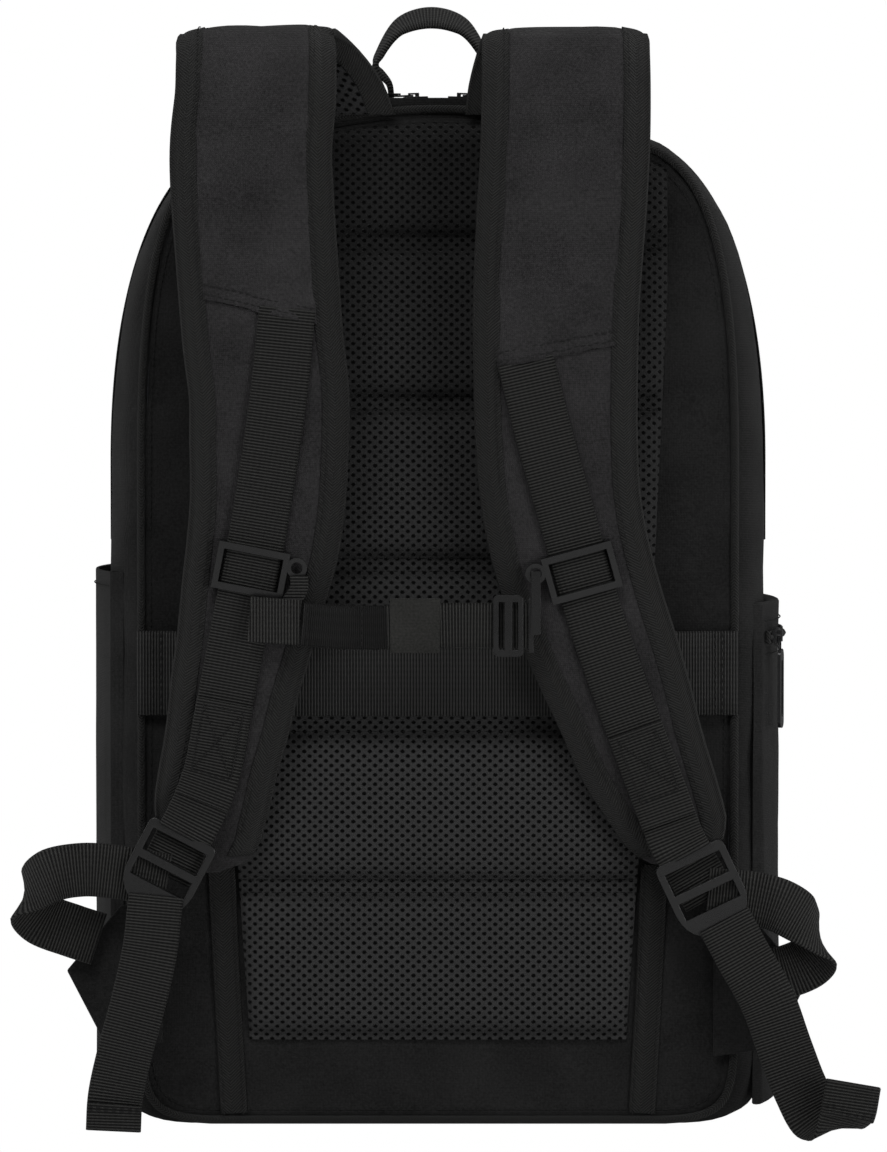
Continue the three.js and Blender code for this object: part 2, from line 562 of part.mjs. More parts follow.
// Its feet are rounded about the line it swings on, so they clear the anchor at every angle.
const handleTurn = handleBase + WEBBING_WIDTH / 2;
const handleFoot = new THREE.CylinderGeometry(WEBBING_WIDTH / 2, WEBBING_WIDTH / 2, FAR, 40)
  .rotateZ(Math.PI / 2).translate(0, HANDLE_Y, handleTurn);
const handleRest = block(v3(-FAR, -FAR, handleTurn), v3(FAR, FAR, handleTurn + FAR));
piece("carry_handle",
  keep(handle, join(handleFoot, handleRest)).translate(HANDLE_X, 0, 0), WEBBING);
const anchorTop = BODY_HEIGHT + 1.4;
const anchor = block(v3(HANDLE_X - 26, HANDLE_Y - 12, anchorTop - 4),
  v3(HANDLE_X + 26, HANDLE_Y + 12, anchorTop));
const bodyClear = loft(STATIONS.map(({ y }) => outlineAt(y, -GAP)));
piece("handle_anchor", cut(anchor, bodyClear), FABRIC);

// ---- Shoulder straps ----------------------------------------------------------------
const STRAP_Y = -86; // the strap ends under the yoke
const facePath = (z) => {
  const rise = z - 120;
  return -98 - 0.15 * rise + 0.00014 * rise * rise; // middle of the pad down the front
};

// Centre line of a pad, from the yoke over the shoulder and down to the tip.
function strapPath(stops, overTop, steps) {
  const front = stops.map(([x, z]) => [x, facePath(z), z]);
  return smoothPath([...overTop, ...front], steps);
}
const overTop = (root, crest) => [
  [root, STRAP_Y, 455], [root + (crest - root) * 0.2, STRAP_Y - 0.5, 467],
  [root + (crest - root) * 0.7, STRAP_Y - 6, 480.5], [crest, STRAP_Y - 20, 487.5],
  [crest, STRAP_Y - 34, 480], [crest, STRAP_Y - 42, 462],
];
const LEFT_STOPS = [
  [-82, 436], [-79.2, 384], [-77, 354], [-74.4, 331], [-74.4, 311], [-75.2, 283], [-77.4, 264],
  [-81, 246], [-86, 220], [-90.2, 201], [-93, 185], [-98.3, 161], [-101.2, 144], [-102, 117],
];
const RIGHT_STOPS = [
  [55.8, 436], [52.1, 370], [51.9, 341], [52.3, 312], [54.3, 284], [58.9, 260], [66.8, 235],
  [74.7, 214], [82.6, 193], [89.9, 172], [99.1, 152], [106.1, 136], [110, 120],
];
const STRAP_STEPS = 44;
const leftStrap = strapPath(LEFT_STOPS, overTop(-54, -80), STRAP_STEPS);
const rightStrap = strapPath(RIGHT_STOPS, overTop(49, 56.4), STRAP_STEPS);
const tipWidths = [[0.93, 50], [0.965, 46], [0.985, 36], [1, 20]];
const leftWidths = [[0, 68], [0.3, 70], [0.55, 69], [0.66, 66], [0.78, 57], [0.88, 51], ...tipWidths];
const rightWidths = [[0, 72], [0.3, 73], [0.55, 70], [0.66, 68], [0.78, 63], [0.88, 56], ...tipWidths];
const padSection = (widths) => (t) => {
  const thin = t < 0.08 ? 0.66 : 1;
  return roundSection(along(widths, t) / 2, (STRAP_THICKNESS / 2) * thin, 12, 3.2);
};
piece("shoulder_pad_left", sweep(leftStrap, padSection(leftWidths)), STRAP);
piece("shoulder_pad_right", sweep(rightStrap, padSection(rightWidths)), STRAP);

// Ribbed webbing laid down each pad, clear of it so that the chest slider can pass behind.
const STANDOFF = 2.4;
const webbingY = (z) => facePath(z) - STRAP_THICKNESS / 2 - STANDOFF - WEBBING_THICKNESS / 2;
const LOCK_Y = -114; // the buckles' plane
function shoulderWebbing(stops, end) {
  const laid = stops.map(([x, z], i) => [x, webbingY(z) + (i === 0 ? STANDOFF - GAP : 0), z]);
  return smoothPath([...laid, end], 34);
}
const leftWebbing = shoulderWebbing(
  [[-66, 368], [-69.8, 331], [-73.4, 306], [-80.3, 264], [-88, 226], [-94.4, 193], [-101, 160]],
  [-109.4, LOCK_Y - 3.2, 140]);
const rightWebbing = shoulderWebbing(
  [[38.5, 345], [47, 311], [56.9, 276], [68.4, 235], [81.5, 197], [96.6, 157]],
  [106.6, LOCK_Y - 3.2, 131]);
piece("shoulder_webbing_left", webbingAlong(leftWebbing), WEBBING);
piece("shoulder_webbing_right", webbingAlong(rightWebbing), WEBBING);

// Ladder-lock: a frame with a top bar, a middle bar and a thumb tab, drawn with its length
// down -Y of the shape, its top bar at the origin.
function ladderLock() {
  const outline = new THREE.Shape();
  const w = LOCK_WIDTH / 2;
  outline.moveTo(-w + 3, 3);
  outline.lineTo(w - 3, 3);
  outline.quadraticCurveTo(w, 3, w, -1);
  outline.lineTo(w, -LOCK_LENGTH + 16);
  outline.quadraticCurveTo(w - 1, -LOCK_LENGTH + 6, 8, -LOCK_LENGTH + 3);
  outline.lineTo(-8, -LOCK_LENGTH + 3);
  outline.quadraticCurveTo(-w + 1, -LOCK_LENGTH + 6, -w, -LOCK_LENGTH + 16);
  outline.lineTo(-w, -1);
  outline.quadraticCurveTo(-w, 3, -w + 3, 3);
  const inner = WEBBING_WIDTH / 2 + 0.8;
  const window = (low, high) => {
    const hole = [[-inner, high], [-inner, low], [inner, low], [inner, high]];
    return new THREE.Path(hole.map(([x, y]) => new THREE.Vector2(x, y)));
  };
  outline.holes.push(window(-12, -LOCK_BAR + 2.4), window(-24, -12 - LOCK_BAR));
  const options = { depth: 4.4, bevelEnabled: false, curveSegments: 5 };
  return new THREE.ExtrudeGeometry(outline, options).translate(0, 0, -2.2);
}
const LOCKS = {
  left: { at: v3(-113.5, LOCK_Y, 133.5), slope: -27.7 },
  right: { at: v3(112, LOCK_Y, 124), slope: 25.4 },
};
for (const [name, { at, slope }] of Object.entries(LOCKS)) {
  const angle = (slope * Math.PI) / 180;
  const bar = v3(Math.cos(angle), 0, Math.sin(angle));
  const down = v3(Math.sin(angle), 0, -Math.cos(angle));
  const basis = new THREE.Matrix4().makeBasis(bar, down.clone().negate(), v3(0, -1, 0));
  piece(`ladder_lock_${name}`, ladderLock().applyMatrix4(basis.setPosition(at)), PLASTIC);
}

// Adjusting webbing: out of the buckle, round a loose loop and back to the wing tab.
const LOOP_Y = LOCK_Y + 3.6;
const leftLoop = smoothPath([
  [-120, LOOP_Y, 114], [-131, LOOP_Y, 116], [-143, LOOP_Y + 0.3, 118], [-158, LOOP_Y, 119],
  [-173, LOOP_Y + 0.5, 116],
  [-184, LOOP_Y + 8, 106], [-178, LOOP_Y + 16, 96], [-164, LOOP_Y + 19, 90], [-152, LOOP_Y + 20, 86],
], 26);
piece("adjust_webbing_left", webbingAlong(leftLoop, WEBBING_WIDTH - 1, v3(0.25, 0, 1)), WEBBING);
const rightLoop = smoothPath([
  [120, LOOP_Y, 108], [132, LOOP_Y, 107], [141, LOOP_Y + 0.3, 106], [152, LOOP_Y, 103],
  [164, LOOP_Y + 3, 95],
  [171, LOOP_Y + 11, 84], [166, LOOP_Y + 18, 76], [158, LOOP_Y + 20, 72], [150, LOOP_Y + 20.5, 70],
], 26);
piece("adjust_webbing_right", webbingAlong(rightLoop, WEBBING_WIDTH - 1, v3(-0.35, 0, 1)), WEBBING);

// Free tails hanging from the buckles to the ground.
const leftTail = smoothPath([
  [-125, LOCK_Y - 3.5, 108], [-127.6, LOCK_Y - 6, 84], [-133, LOCK_Y - 5, 60], [-139, LOCK_Y - 2, 38],
  [-143.4, LOCK_Y + 1, 18], [-144.4, LOCK_Y + 3, 3],
], 22);
piece("tail_left", webbingAlong(leftTail), WEBBING);
const rightTail = smoothPath([
  [127, LOCK_Y - 3.5, 97], [135, LOCK_Y - 6, 82], [146, LOCK_Y - 6, 62], [154, LOCK_Y - 4, 40],
  [161, LOCK_Y - 3, 22], [168, LOCK_Y - 6, 9], [175, LOCK_Y - 14, 6], [180, LOCK_Y - 20, 12],
  [183, LOCK_Y - 22, 27],
], 26);
piece("tail_right", webbingAlong(rightTail, WEBBING_WIDTH, v3(1, 0, 0.25)), WEBBING);

// Wing tabs that carry the adjusting webbing, sewn into the lower side seams.
const WING_THICKNESS = 2.2;
const wingY = REAR_FACE - 2 * GAP - 2 * PIPING_RADIUS - WING_THICKNESS;
const WINGS = {
  left: [[-124, 104], [-143, 100], [-167, 71], [-152, 42], [-124, 38]],
  right: [[124, 92], [146, 90], [166, 66], [152, 36], [124, 32]],
};
for (const [name, corners] of Object.entries(WINGS)) {
  piece(`wing_tab_${name}`, plateXZ(polygon(corners), wingY, WING_THICKNESS), FABRIC);
}

// ---- Chest strap --------------------------------------------------------------------
// A slider's frame stands round the webbing: front bars, side cheeks and bars behind.
const CHEST_Z = { left: 253, right: 252 };
function pointAtHeight(path, z) {
  const i = path.findIndex((p) => p.z <= z);
  const [a, b] = [path[i - 1], path[i]];
  return a.clone().lerp(b, (a.z - z) / (a.z - b.z));
}
function directionAtHeight(path, z) {
  const [high, low] = [pointAtHeight(path, z + 14), pointAtHeight(path, z - 14)];
  return low.sub(high).normalize();
}
const SLIDER_INNER = WEBBING_WIDTH + 1.6;
const cheek = 2.6;
const EYELET_RADIUS = 4.6;
function chestSlider(side) {
  const outerHalf = SLIDER_INNER / 2 + cheek;
  const front = WEBBING_THICKNESS / 2 + 0.5;
  const back = -WEBBING_THICKNESS / 2 - 0.5;
  const frame = block(v3(-outerHalf, -SLIDER_LENGTH / 2, back - 1.1),
    v3(outerHalf, SLIDER_LENGTH / 2, front + 2.2));
  const window = block(v3(-SLIDER_INNER / 2, -SLIDER_LENGTH / 2 + SLIDER_BAR, back - 9),
    v3(SLIDER_INNER / 2, SLIDER_LENGTH / 2 - SLIDER_BAR, front + 9));
  const channel = block(v3(-SLIDER_INNER / 2, -SLIDER_LENGTH, back), v3(SLIDER_INNER / 2, SLIDER_LENGTH, front));
  const ring = new THREE.Shape();
  ring.absarc(0, 0, EYELET_RADIUS, 0, 2 * Math.PI);
  ring.holes.push(new THREE.Path().absarc(0, 0, EYELET_RADIUS - 2, 0, 2 * Math.PI, true));
  const eyelet = new THREE.ExtrudeGeometry(ring, { depth: 2.4, bevelEnabled: false, curveSegments: 8 });
  eyelet.translate(side * (outerHalf + EYELET_RADIUS - 0.8), 5, front - 0.4);
  return join(cut(frame, window, channel), eyelet);
}
const CHEST = {};
for (const [name, path, side] of [["left", leftWebbing, 1], ["right", rightWebbing, -1]]) {
  const at = pointAtHeight(path, CHEST_Z[name]);
  const down = directionAtHeight(path, CHEST_Z[name]);
  const right = X_AXIS.clone().addScaledVector(down, -X_AXIS.dot(down)).normalize();
  const out = right.clone().cross(down.clone().negate());
  const basis = new THREE.Matrix4().makeBasis(right, down.clone().negate(), out).setPosition(at);
  piece(`chest_slider_${name}`, chestSlider(side).applyMatrix4(basis), PLASTIC);
  const reach = side * (SLIDER_INNER / 2 + cheek + EYELET_RADIUS - 0.8);
  const eye = at.clone().addScaledVector(right, reach).addScaledVector(down, -5);
  CHEST[name] = { eye: eye.addScaledVector(out, WEBBING_THICKNESS / 2 + 1.3), down };
}

// The strap itself sags a little between the two sliders, in front of the shoulder webbing.
const CHEST_FOLD_X = -60; // where the chest strap leaves its sewn end and can swing
const CHEST_Y = Math.min(CHEST.left.eye.y, CHEST.right.eye.y) - 4.6;
const CHEST_LINE = 228.5;
const chestPath = (stops, y = CHEST_Y) => stops.map(([x, z]) => v3(x, y, z));
piece("chest_end_fold",
  webbingAlong(chestPath([[-83, 231.4], [-72, 230.6], [CHEST_FOLD_X - 0.6, 229.8]]), STERNUM_WIDTH, Z_AXIS),
  WEBBING);
const chestRun = chestPath([[CHEST_FOLD_X + 0.6, 229.7], [-40, 228.8], [-10, CHEST_LINE], [25, CHEST_LINE]]);
piece("chest_webbing", webbingAlong(chestRun, STERNUM_WIDTH, Z_AXIS), WEBBING);
const keeperRing = cut(
  block(v3(-21, CHEST_Y - 1.9, CHEST_LINE - 12), v3(1, CHEST_Y + 1.9, CHEST_LINE + 12)),
  block(v3(-22, CHEST_Y - 1.25, CHEST_LINE - 10.9), v3(2, CHEST_Y + 1.25, CHEST_LINE + 10.9)));
piece("elastic_keeper", keeperRing, WEBBING);

// Loop from the left eyelet to the end fold.
const eyeL = CHEST.left.eye;
const loopPath = smoothPath([
  [eyeL.x + 1, eyeL.y - 2.6, eyeL.z - 3.6], [eyeL.x + 1, CHEST_Y + 1.4, eyeL.z - 9],
  [eyeL.x - 3, CHEST_Y + 2, 238], [-68, CHEST_Y + 2.1, 232],
], 14);
piece("eyelet_loop", webbingAlong(loopPath, 8, X_AXIS), WEBBING);

// Three-bar adjuster and the hook that drops into the right eyelet.
const ADJUSTER_X = 31;
function adjusterFrame() {
  const slots = [-3, 3].map((x) => block(v3(x - 1.3, -9, -10.6), v3(x + 1.3, 9, 10.6)));
  return cut(plateXZ(roundedRect(13, 27, 2), 0, 2.2), ...slots);
}
piece("chest_adjuster", adjusterFrame().translate(ADJUSTER_X, CHEST_Y - 3.5, CHEST_LINE), PLASTIC);
const hookLayer = CHEST_Y + WEBBING_THICKNESS + 0.5;
const HOOK_BAR_X = 40;
const hookRun = chestPath([[18, CHEST_LINE], [HOOK_BAR_X - GAP, CHEST_LINE]], hookLayer);
piece("hook_webbing",
  webbingAlong(hookRun, STERNUM_WIDTH, Z_AXIS), WEBBING);
const eyeR = CHEST.right.eye;
const hookFront = CHEST_Y - 0.7;
const hookBar = block(v3(HOOK_BAR_X, hookLayer - 1.6, CHEST_LINE - 12),
  v3(HOOK_BAR_X + 2.2, hookLayer + 1.6, CHEST_LINE + 12));
const hookArm = block(v3(HOOK_BAR_X + 1, hookFront, CHEST_LINE - 4),
  v3(eyeR.x + 2, hookLayer + 1.6, CHEST_LINE + 4));
const hookRise = block(v3(eyeR.x - 2, hookFront, CHEST_LINE - 4),
  v3(eyeR.x + 2, CHEST_Y + 1.4, eyeR.z + 1.1));
const hookPin = block(v3(eyeR.x - 1.1, CHEST_Y, eyeR.z - 1.1),
  v3(eyeR.x + 1.1, eyeR.y + 1.2, eyeR.z + 1.1));
piece("chest_hook", join(hookBar, hookArm, hookRise, hookPin), PLASTIC);

export default backpack;
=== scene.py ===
# %% [markdown]
# # A school backpack, seen from its harness side
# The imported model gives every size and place, and it moves in MuJoCo. This notebook dresses
# it: each cell makes one sewn or moulded piece, gives it a finish and says which body it
# rides on. Lengths are metres; +Z is up, -Y is the harness side and +X is the viewer's right.

# %% Load the frame
import json
import math

import bmesh
import bpy
import numpy as np
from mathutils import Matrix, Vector, noise

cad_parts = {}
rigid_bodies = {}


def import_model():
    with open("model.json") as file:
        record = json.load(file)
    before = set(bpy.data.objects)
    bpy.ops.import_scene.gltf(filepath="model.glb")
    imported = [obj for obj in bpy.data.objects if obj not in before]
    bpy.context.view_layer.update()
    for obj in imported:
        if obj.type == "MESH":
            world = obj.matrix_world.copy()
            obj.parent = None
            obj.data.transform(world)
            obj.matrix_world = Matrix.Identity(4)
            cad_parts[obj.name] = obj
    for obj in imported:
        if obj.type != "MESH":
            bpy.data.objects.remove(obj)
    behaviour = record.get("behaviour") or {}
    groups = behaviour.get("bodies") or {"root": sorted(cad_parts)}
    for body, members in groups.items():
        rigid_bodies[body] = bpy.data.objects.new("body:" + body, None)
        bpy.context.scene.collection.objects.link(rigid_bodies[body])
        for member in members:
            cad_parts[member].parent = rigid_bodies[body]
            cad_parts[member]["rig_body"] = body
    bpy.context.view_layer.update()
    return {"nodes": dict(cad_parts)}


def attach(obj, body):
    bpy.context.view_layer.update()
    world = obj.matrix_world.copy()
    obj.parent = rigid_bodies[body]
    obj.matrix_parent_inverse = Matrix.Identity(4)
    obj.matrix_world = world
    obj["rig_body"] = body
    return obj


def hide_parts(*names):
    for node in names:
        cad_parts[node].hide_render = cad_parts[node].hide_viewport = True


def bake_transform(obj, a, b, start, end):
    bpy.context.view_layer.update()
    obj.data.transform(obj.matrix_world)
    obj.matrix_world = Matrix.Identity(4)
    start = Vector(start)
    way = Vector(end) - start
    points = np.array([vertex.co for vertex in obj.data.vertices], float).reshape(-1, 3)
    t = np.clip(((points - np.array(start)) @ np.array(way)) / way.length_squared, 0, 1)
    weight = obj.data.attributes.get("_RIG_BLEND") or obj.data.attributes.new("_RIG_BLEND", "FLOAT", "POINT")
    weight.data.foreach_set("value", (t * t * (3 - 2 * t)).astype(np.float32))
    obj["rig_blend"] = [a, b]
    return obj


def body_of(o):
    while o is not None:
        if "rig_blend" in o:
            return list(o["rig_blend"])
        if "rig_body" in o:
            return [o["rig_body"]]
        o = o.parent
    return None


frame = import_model()
MM = 0.001

# %% [markdown]
# ## The camera
# The bag is looked at squarely from the harness side, from a little above its middle. A long
# lens keeps both sides nearly parallel. It is made first, so that every piece is judged by it.

# %% Camera
REAR_FACE = -75 * MM
aim = Vector((2.5 * MM, REAR_FACE, 248.4 * MM))
CAMERA_DISTANCE = 2.5
CAMERA_RISE = math.radians(2.0)
VIEW_HEIGHT = 518.4 * MM  # height of the view, at the harness face
camera_data = bpy.data.cameras.new("camera")
camera = bpy.data.objects.new("camera", camera_data)
bpy.context.scene.collection.objects.link(camera)
camera_data.sensor_fit = "VERTICAL"
camera_data.sensor_height = 36
camera_data.lens = 36 * CAMERA_DISTANCE / VIEW_HEIGHT
camera.location = aim + CAMERA_DISTANCE * Vector((0, -math.cos(CAMERA_RISE), math.sin(CAMERA_RISE)))
camera.rotation_euler = (math.pi / 2 - CAMERA_RISE, 0, 0)
bpy.context.scene.camera = camera
bpy.context.scene.view_settings.view_transform = "Standard"
print("lens", round(camera_data.lens, 1), "mm")

# %% [markdown]
# ## Writing shader maths as expressions
# A finish is a sum of small patterns. `Wire` wraps one output of a node, so that `a * 2 + b`
# adds the Math nodes by itself, and `Finish.node` makes any other node from its type, its
# settings and the values or wires of its sockets.


# %% Shader helpers
class Wire:
    """One output socket that can be used in arithmetic."""

    def __init__(self, finish, socket):
        self.finish, self.socket = finish, socket

    def maths(self, operation, *values):
        inputs = dict(enumerate((self, *values)))
        return self.finish.node("Math", {"operation": operation}, inputs)

    def __add__(self, other):
        return self.maths("ADD", other)

    def __mul__(self, other):
        return self.maths("MULTIPLY", other)

    def __sub__(self, other):
        return self.maths("SUBTRACT", other)

    def __rsub__(self, other):
        return (self * -1) + other

    __radd__, __rmul__ = __add__, __mul__


class Finish:
    """A procedural material built round one Principled shader."""

    def __init__(self, name, colour, roughness, metallic=0.0, specular=0.3, sheen=0.0):
        self.material = bpy.data.materials.new(name)
        self.material.use_nodes = True
        self.tree = self.material.node_tree
        self.shader = self.tree.nodes["Principled BSDF"]
        self.colour = (*colour, 1)
        self.put("Base Color", self.colour)
        self.put("Roughness", roughness)
        self.put("Metallic", metallic)
        self.put("Specular IOR Level", specular)
        self.put("Sheen Weight", sheen)
        self.put("Sheen Roughness", 0.4)

    def put(self, name, value, node=None):
        socket = (node or self.shader).inputs[name]
        if isinstance(value, Wire):
            self.tree.links.new(value.socket, socket)
        else:
            socket.default_value = value

    def node(self, kind, settings=None, inputs=None, out=0):
        made = self.tree.nodes.new("ShaderNode" + kind)
        for key, value in (settings or {}).items():
            if key == "stops":
                for i, (place, colour) in enumerate(value):
                    ramp = made.color_ramp.elements
                    stop = ramp[i] if i < 2 else ramp.new(place)
                    stop.position, stop.color = place, colour
            else:
                setattr(made, key, value)
        for key, value in (inputs or {}).items():
            self.put(key, value, made)
        return Wire(self, made.outputs[out])

    def place(self, source="Object"):
        return self.node("TexCoord", out=source)

    def axes(self, vector):
        return [self.node("SeparateXYZ", inputs={0: vector}, out=i) for i in range(3)]

    def noise(self, scale, detail=2.0, vector=None):
        inputs = {"Scale": scale, "Detail": detail, "Vector": vector or self.place()}
        return self.node("TexNoise", inputs=inputs)

    def waves(self, value, period, phase=0.0):
        """0 to 1 and back, once in every period."""
        return (value * (2 * math.pi / period) + phase).maths("SINE") * 0.5 + 0.5

    def tint(self, mask, low, high):
        """Base colour scaled from `low` to `high` times the finish's own colour."""
        ends = [tuple(min(1, c * k) for c in self.colour[:3]) + (1,) for k in (low, high)]
        mixed = self.node("Mix", {"data_type": "RGBA"}, {0: mask, 6: ends[0], 7: ends[1]}, out=2)
        self.put("Base Color", mixed)

    def bump(self, height, distance, strength=1.0):
        inputs = {"Height": height, "Distance": distance, "Strength": strength}
        self.put("Normal", self.node("Bump", inputs=inputs))


# %% [markdown]
# ## Finishes
# The bag is black all over, so the cloths differ by weave, not by colour: a plain matt body
# cloth, a slightly paler strap cloth, ribbed webbing, twill binding, knitted spacer mesh,
# satin buckle plastic and enamelled zip metal. Webbing and tape patterns run along the UV
# map, which holds metres across and along each strip; body cloth uses Object coordinates.


# %% Cloth finishes
def body_cloth(name, colour, thread=0.0007, slub=0.25):
    f = Finish(name, colour, 0.86, specular=0.16, sheen=0.05)
    x, y, z = f.axes(f.place())
    warp = f.waves(x + y, thread)
    weft = f.waves(z, thread * 1.1)
    weave = warp * weft
    mottle = f.noise(900, 3) * 0.6 + f.noise(35, 2) * 0.4
    f.tint((mottle - 0.5) * 2.2 + 0.4 + weave * slub, 0.4, 1.75)
    f.put("Roughness", mottle * 0.12 + 0.78)
    f.bump(weave * 0.6 + f.noise(1400, 1) * 0.7, 0.0003, 0.8)
    return f.material


def ribbed_webbing(name, colour, rib=0.00137, column=0.0023, across=True):
    f = Finish(name, colour, 0.62, specular=0.26, sheen=0.04)
    u, v, _ = f.axes(f.place("UV"))
    ribs = f.waves(v if across else u, rib)
    columns = f.waves(u if across else v, column)
    fuzz = f.noise(1500, 2)
    weave = ribs * 0.75 + columns * 0.25
    f.tint((ribs - 0.5) * 1.5 + 0.45 + (columns - 0.5) * 0.15 + fuzz * 0.1, 0.0, 1.8)
    f.put("Roughness", 0.74 - weave * 0.26)
    f.bump(weave + fuzz * 0.25, 0.0006, 1.0)
    return f.material


def twill_tape(name, colour, pitch=0.0014):
    f = Finish(name, colour, 0.8, specular=0.2, sheen=0.05)
    u, v, _ = f.axes(f.place("UV"))
    slant = f.waves((u - 0.0055).maths("ABSOLUTE") * 0.9 + v, pitch)
    cross = f.waves(v - u, pitch * 0.45)
    fuzz = f.noise(1300, 2)
    f.tint(slant * 0.6 + cross * 0.15 + fuzz * 0.25, 0.3, 1.9)
    f.bump(slant + cross * 0.3 + fuzz * 0.2, 0.0005, 1.0)
    return f.material


def knitted_mesh(name, colour, across=0.0049, up=0.0042, source="Object", painted_shade=0.0):
    """Holes on a staggered lattice, where two crossed waves both peak."""
    f = Finish(name, colour, 0.9, specular=0.12, sheen=0.04)
    x, y, z = f.axes(f.place(source))
    rise = z if source == "Object" else y
    run, climb = x * (1 / across), rise * (1 / up)
    lattice = f.waves(run + climb, 1.0) * f.waves(run - climb, 1.0)
    pit = ((lattice - 0.3) * 2.6).maths("MAXIMUM", 0.0).maths("MINIMUM", 1.0)
    knit = f.noise(1100, 2)
    # Painted shade: the base colour grows darker upward from 0.17 m to 0.5 m, standing in for the shade that falls on
    # the upper back between the straps.
    painted_shade_ramp = 1 - (z * 3.0 - 0.5).maths("MAXIMUM", 0.0).maths("MINIMUM", 1.0) * painted_shade
    f.tint((1 - pit) * (0.5 + knit * 0.5) * painted_shade_ramp, 0.02, 2.0)
    f.bump(knit * 0.6 - pit * 1.4, 0.0008, 1.0)
    return f.material


BODY = body_cloth("body_cloth", (0.0165, 0.0165, 0.0165))
STRAP = body_cloth("strap_cloth", (0.029, 0.028, 0.029), 0.0008, 0.35)
LINING = body_cloth("lining_cloth", (0.045, 0.047, 0.052), 0.0009, 0.2)
WEBBING = ribbed_webbing("ribbed_webbing", (0.0195, 0.0195, 0.0183))
BAND = ribbed_webbing("trolley_band_webbing", (0.0195, 0.0195, 0.019), 0.00135, 0.0026)
ELASTIC = ribbed_webbing("smooth_elastic", (0.0055, 0.0055, 0.0054), 0.0009, 0.004)
KEEPER = body_cloth("keeper_cloth", (0.025, 0.025, 0.0235), 0.0006, 0.5)
TWILL = twill_tape("twill_binding", (0.0215, 0.0215, 0.021))
# The back's spacer mesh takes painted shade: its colour darkens towards the top of the back.
MESH = knitted_mesh("spacer_mesh", (0.029, 0.029, 0.0292), painted_shade=0.75)
MESH_UNDER = knitted_mesh("strap_spacer_mesh", (0.02, 0.02, 0.0205), source="UV")


# %% Moulded and enamelled finishes
def moulded(name, colour, roughness, grain, specular=0.5, metallic=0.0):
    f = Finish(name, colour, roughness, metallic, specular)
    speck = f.noise(grain, 3)
    rub = f.noise(60, 2)
    f.tint(rub, 0.8, 1.25)
    f.put("Roughness", rub * 0.14 + (roughness - 0.07))
    f.bump(speck, 0.00006, 0.5)
    return f.material


PLASTIC = moulded("buckle_plastic", (0.009, 0.009, 0.0091), 0.27, 2600, 0.5)
ENAMEL = moulded("zip_enamel", (0.016, 0.016, 0.017), 0.28, 900, 0.6, 0.35)
COIL = moulded("zip_coil", (0.014, 0.014, 0.014), 0.5, 1800, 0.35)
THREAD = moulded("sewing_thread", (0.012, 0.012, 0.012), 0.7, 4000, 0.25)
BOARD = moulded("stiffener_board", (0.035, 0.036, 0.04), 0.6, 400)
print(len(bpy.data.materials), "materials")

# %% [markdown]
# ## Mesh helpers
# Nearly every piece is a section carried along a path, or a run of rings. Both come from one
# function that also writes a UV map in metres, because webbing and tape need their ribs to
# follow the strip. Paths are smooth curves through a few given points.


# %% Paths and rings
CURVE_SAMPLES = 24  # points on each stretch of a curve, before it is evened out


def between(a, b, t, start, stop):
    """The point at t on a straight walk that leaves a at start and reaches b at stop."""
    return ((stop - t) * a + (t - start) * b) / (stop - start)


def smooth_path(points, steps):
    """A centripetal Catmull-Rom curve through the points, in millimetres, with even steps."""
    p = np.array(points, float)
    p = np.vstack([2 * p[0] - p[1], p, 2 * p[-1] - p[-2]])
    run = []
    for i in range(1, len(p) - 2):
        quad = p[i - 1 : i + 3]
        knot = np.concatenate([[0], np.cumsum(np.linalg.norm(np.diff(quad, axis=0), axis=1) ** 0.5)])
        for t in np.linspace(knot[1], knot[2], CURVE_SAMPLES, endpoint=False):
            sides = [between(quad[j], quad[j + 1], t, knot[j], knot[j + 1]) for j in range(3)]
            early, late = [between(sides[j], sides[j + 1], t, knot[j], knot[j + 2]) for j in range(2)]
            share = (t - knot[1]) / (knot[2] - knot[1])
            run.append(early * (1 - share) + late * share)
    run.append(p[-2])
    return even(np.array(run), steps)


def even(run, steps):
    length = np.concatenate([[0], np.cumsum(np.linalg.norm(np.diff(run, axis=0), axis=1))])
    marks = np.linspace(0, length[-1], steps)
    return np.stack([np.interp(marks, length, run[:, k]) for k in range(3)], axis=1)


def unit(v):
    return v / np.maximum(np.linalg.norm(v, axis=-1, keepdims=True), 1e-12)


def frames(path, across=(1, 0, 0), closed=False):
    """Tangent, width and thickness directions at each point of a path."""
    after, before = np.roll(path, -1, axis=0), np.roll(path, 1, axis=0)
    if not closed:
        after[-1], before[0] = path[-1], path[0]
    tangent = unit(after - before)
    wide = np.broadcast_to(np.array(across, float), path.shape)
    wide = unit(wide - np.sum(wide * tangent, axis=1, keepdims=True) * tangent)
    return tangent, wide, np.cross(tangent, wide)


def link(name, vertices, faces, materials, smooth=True):
    mesh = bpy.data.meshes.new(name)
    mesh.from_pydata([tuple(v) for v in np.asarray(vertices) * MM], [], faces)
    for material in materials if isinstance(materials, (list, tuple)) else [materials]:
        mesh.materials.append(material)
    mesh.polygons.foreach_set("use_smooth", [smooth] * len(mesh.polygons))
    piece = bpy.data.objects.new(name, mesh)
    bpy.context.scene.collection.objects.link(piece)
    return piece


def fix_normals(piece):
    work = bmesh.new()
    work.from_mesh(piece.data)
    bmesh.ops.recalc_face_normals(work, faces=work.faces)
    work.to_mesh(piece.data)
    work.free()
    return piece


def grid_faces(rows, columns, closed_rows=False, closed_columns=True):
    faces = []
    for i in range(rows if closed_rows else rows - 1):
        for j in range(columns if closed_columns else columns - 1):
            a, b = i * columns + j, i * columns + (j + 1) % columns
            c = ((i + 1) % rows) * columns
            faces.append((a, b, c + (j + 1) % columns, c + j))
    return faces


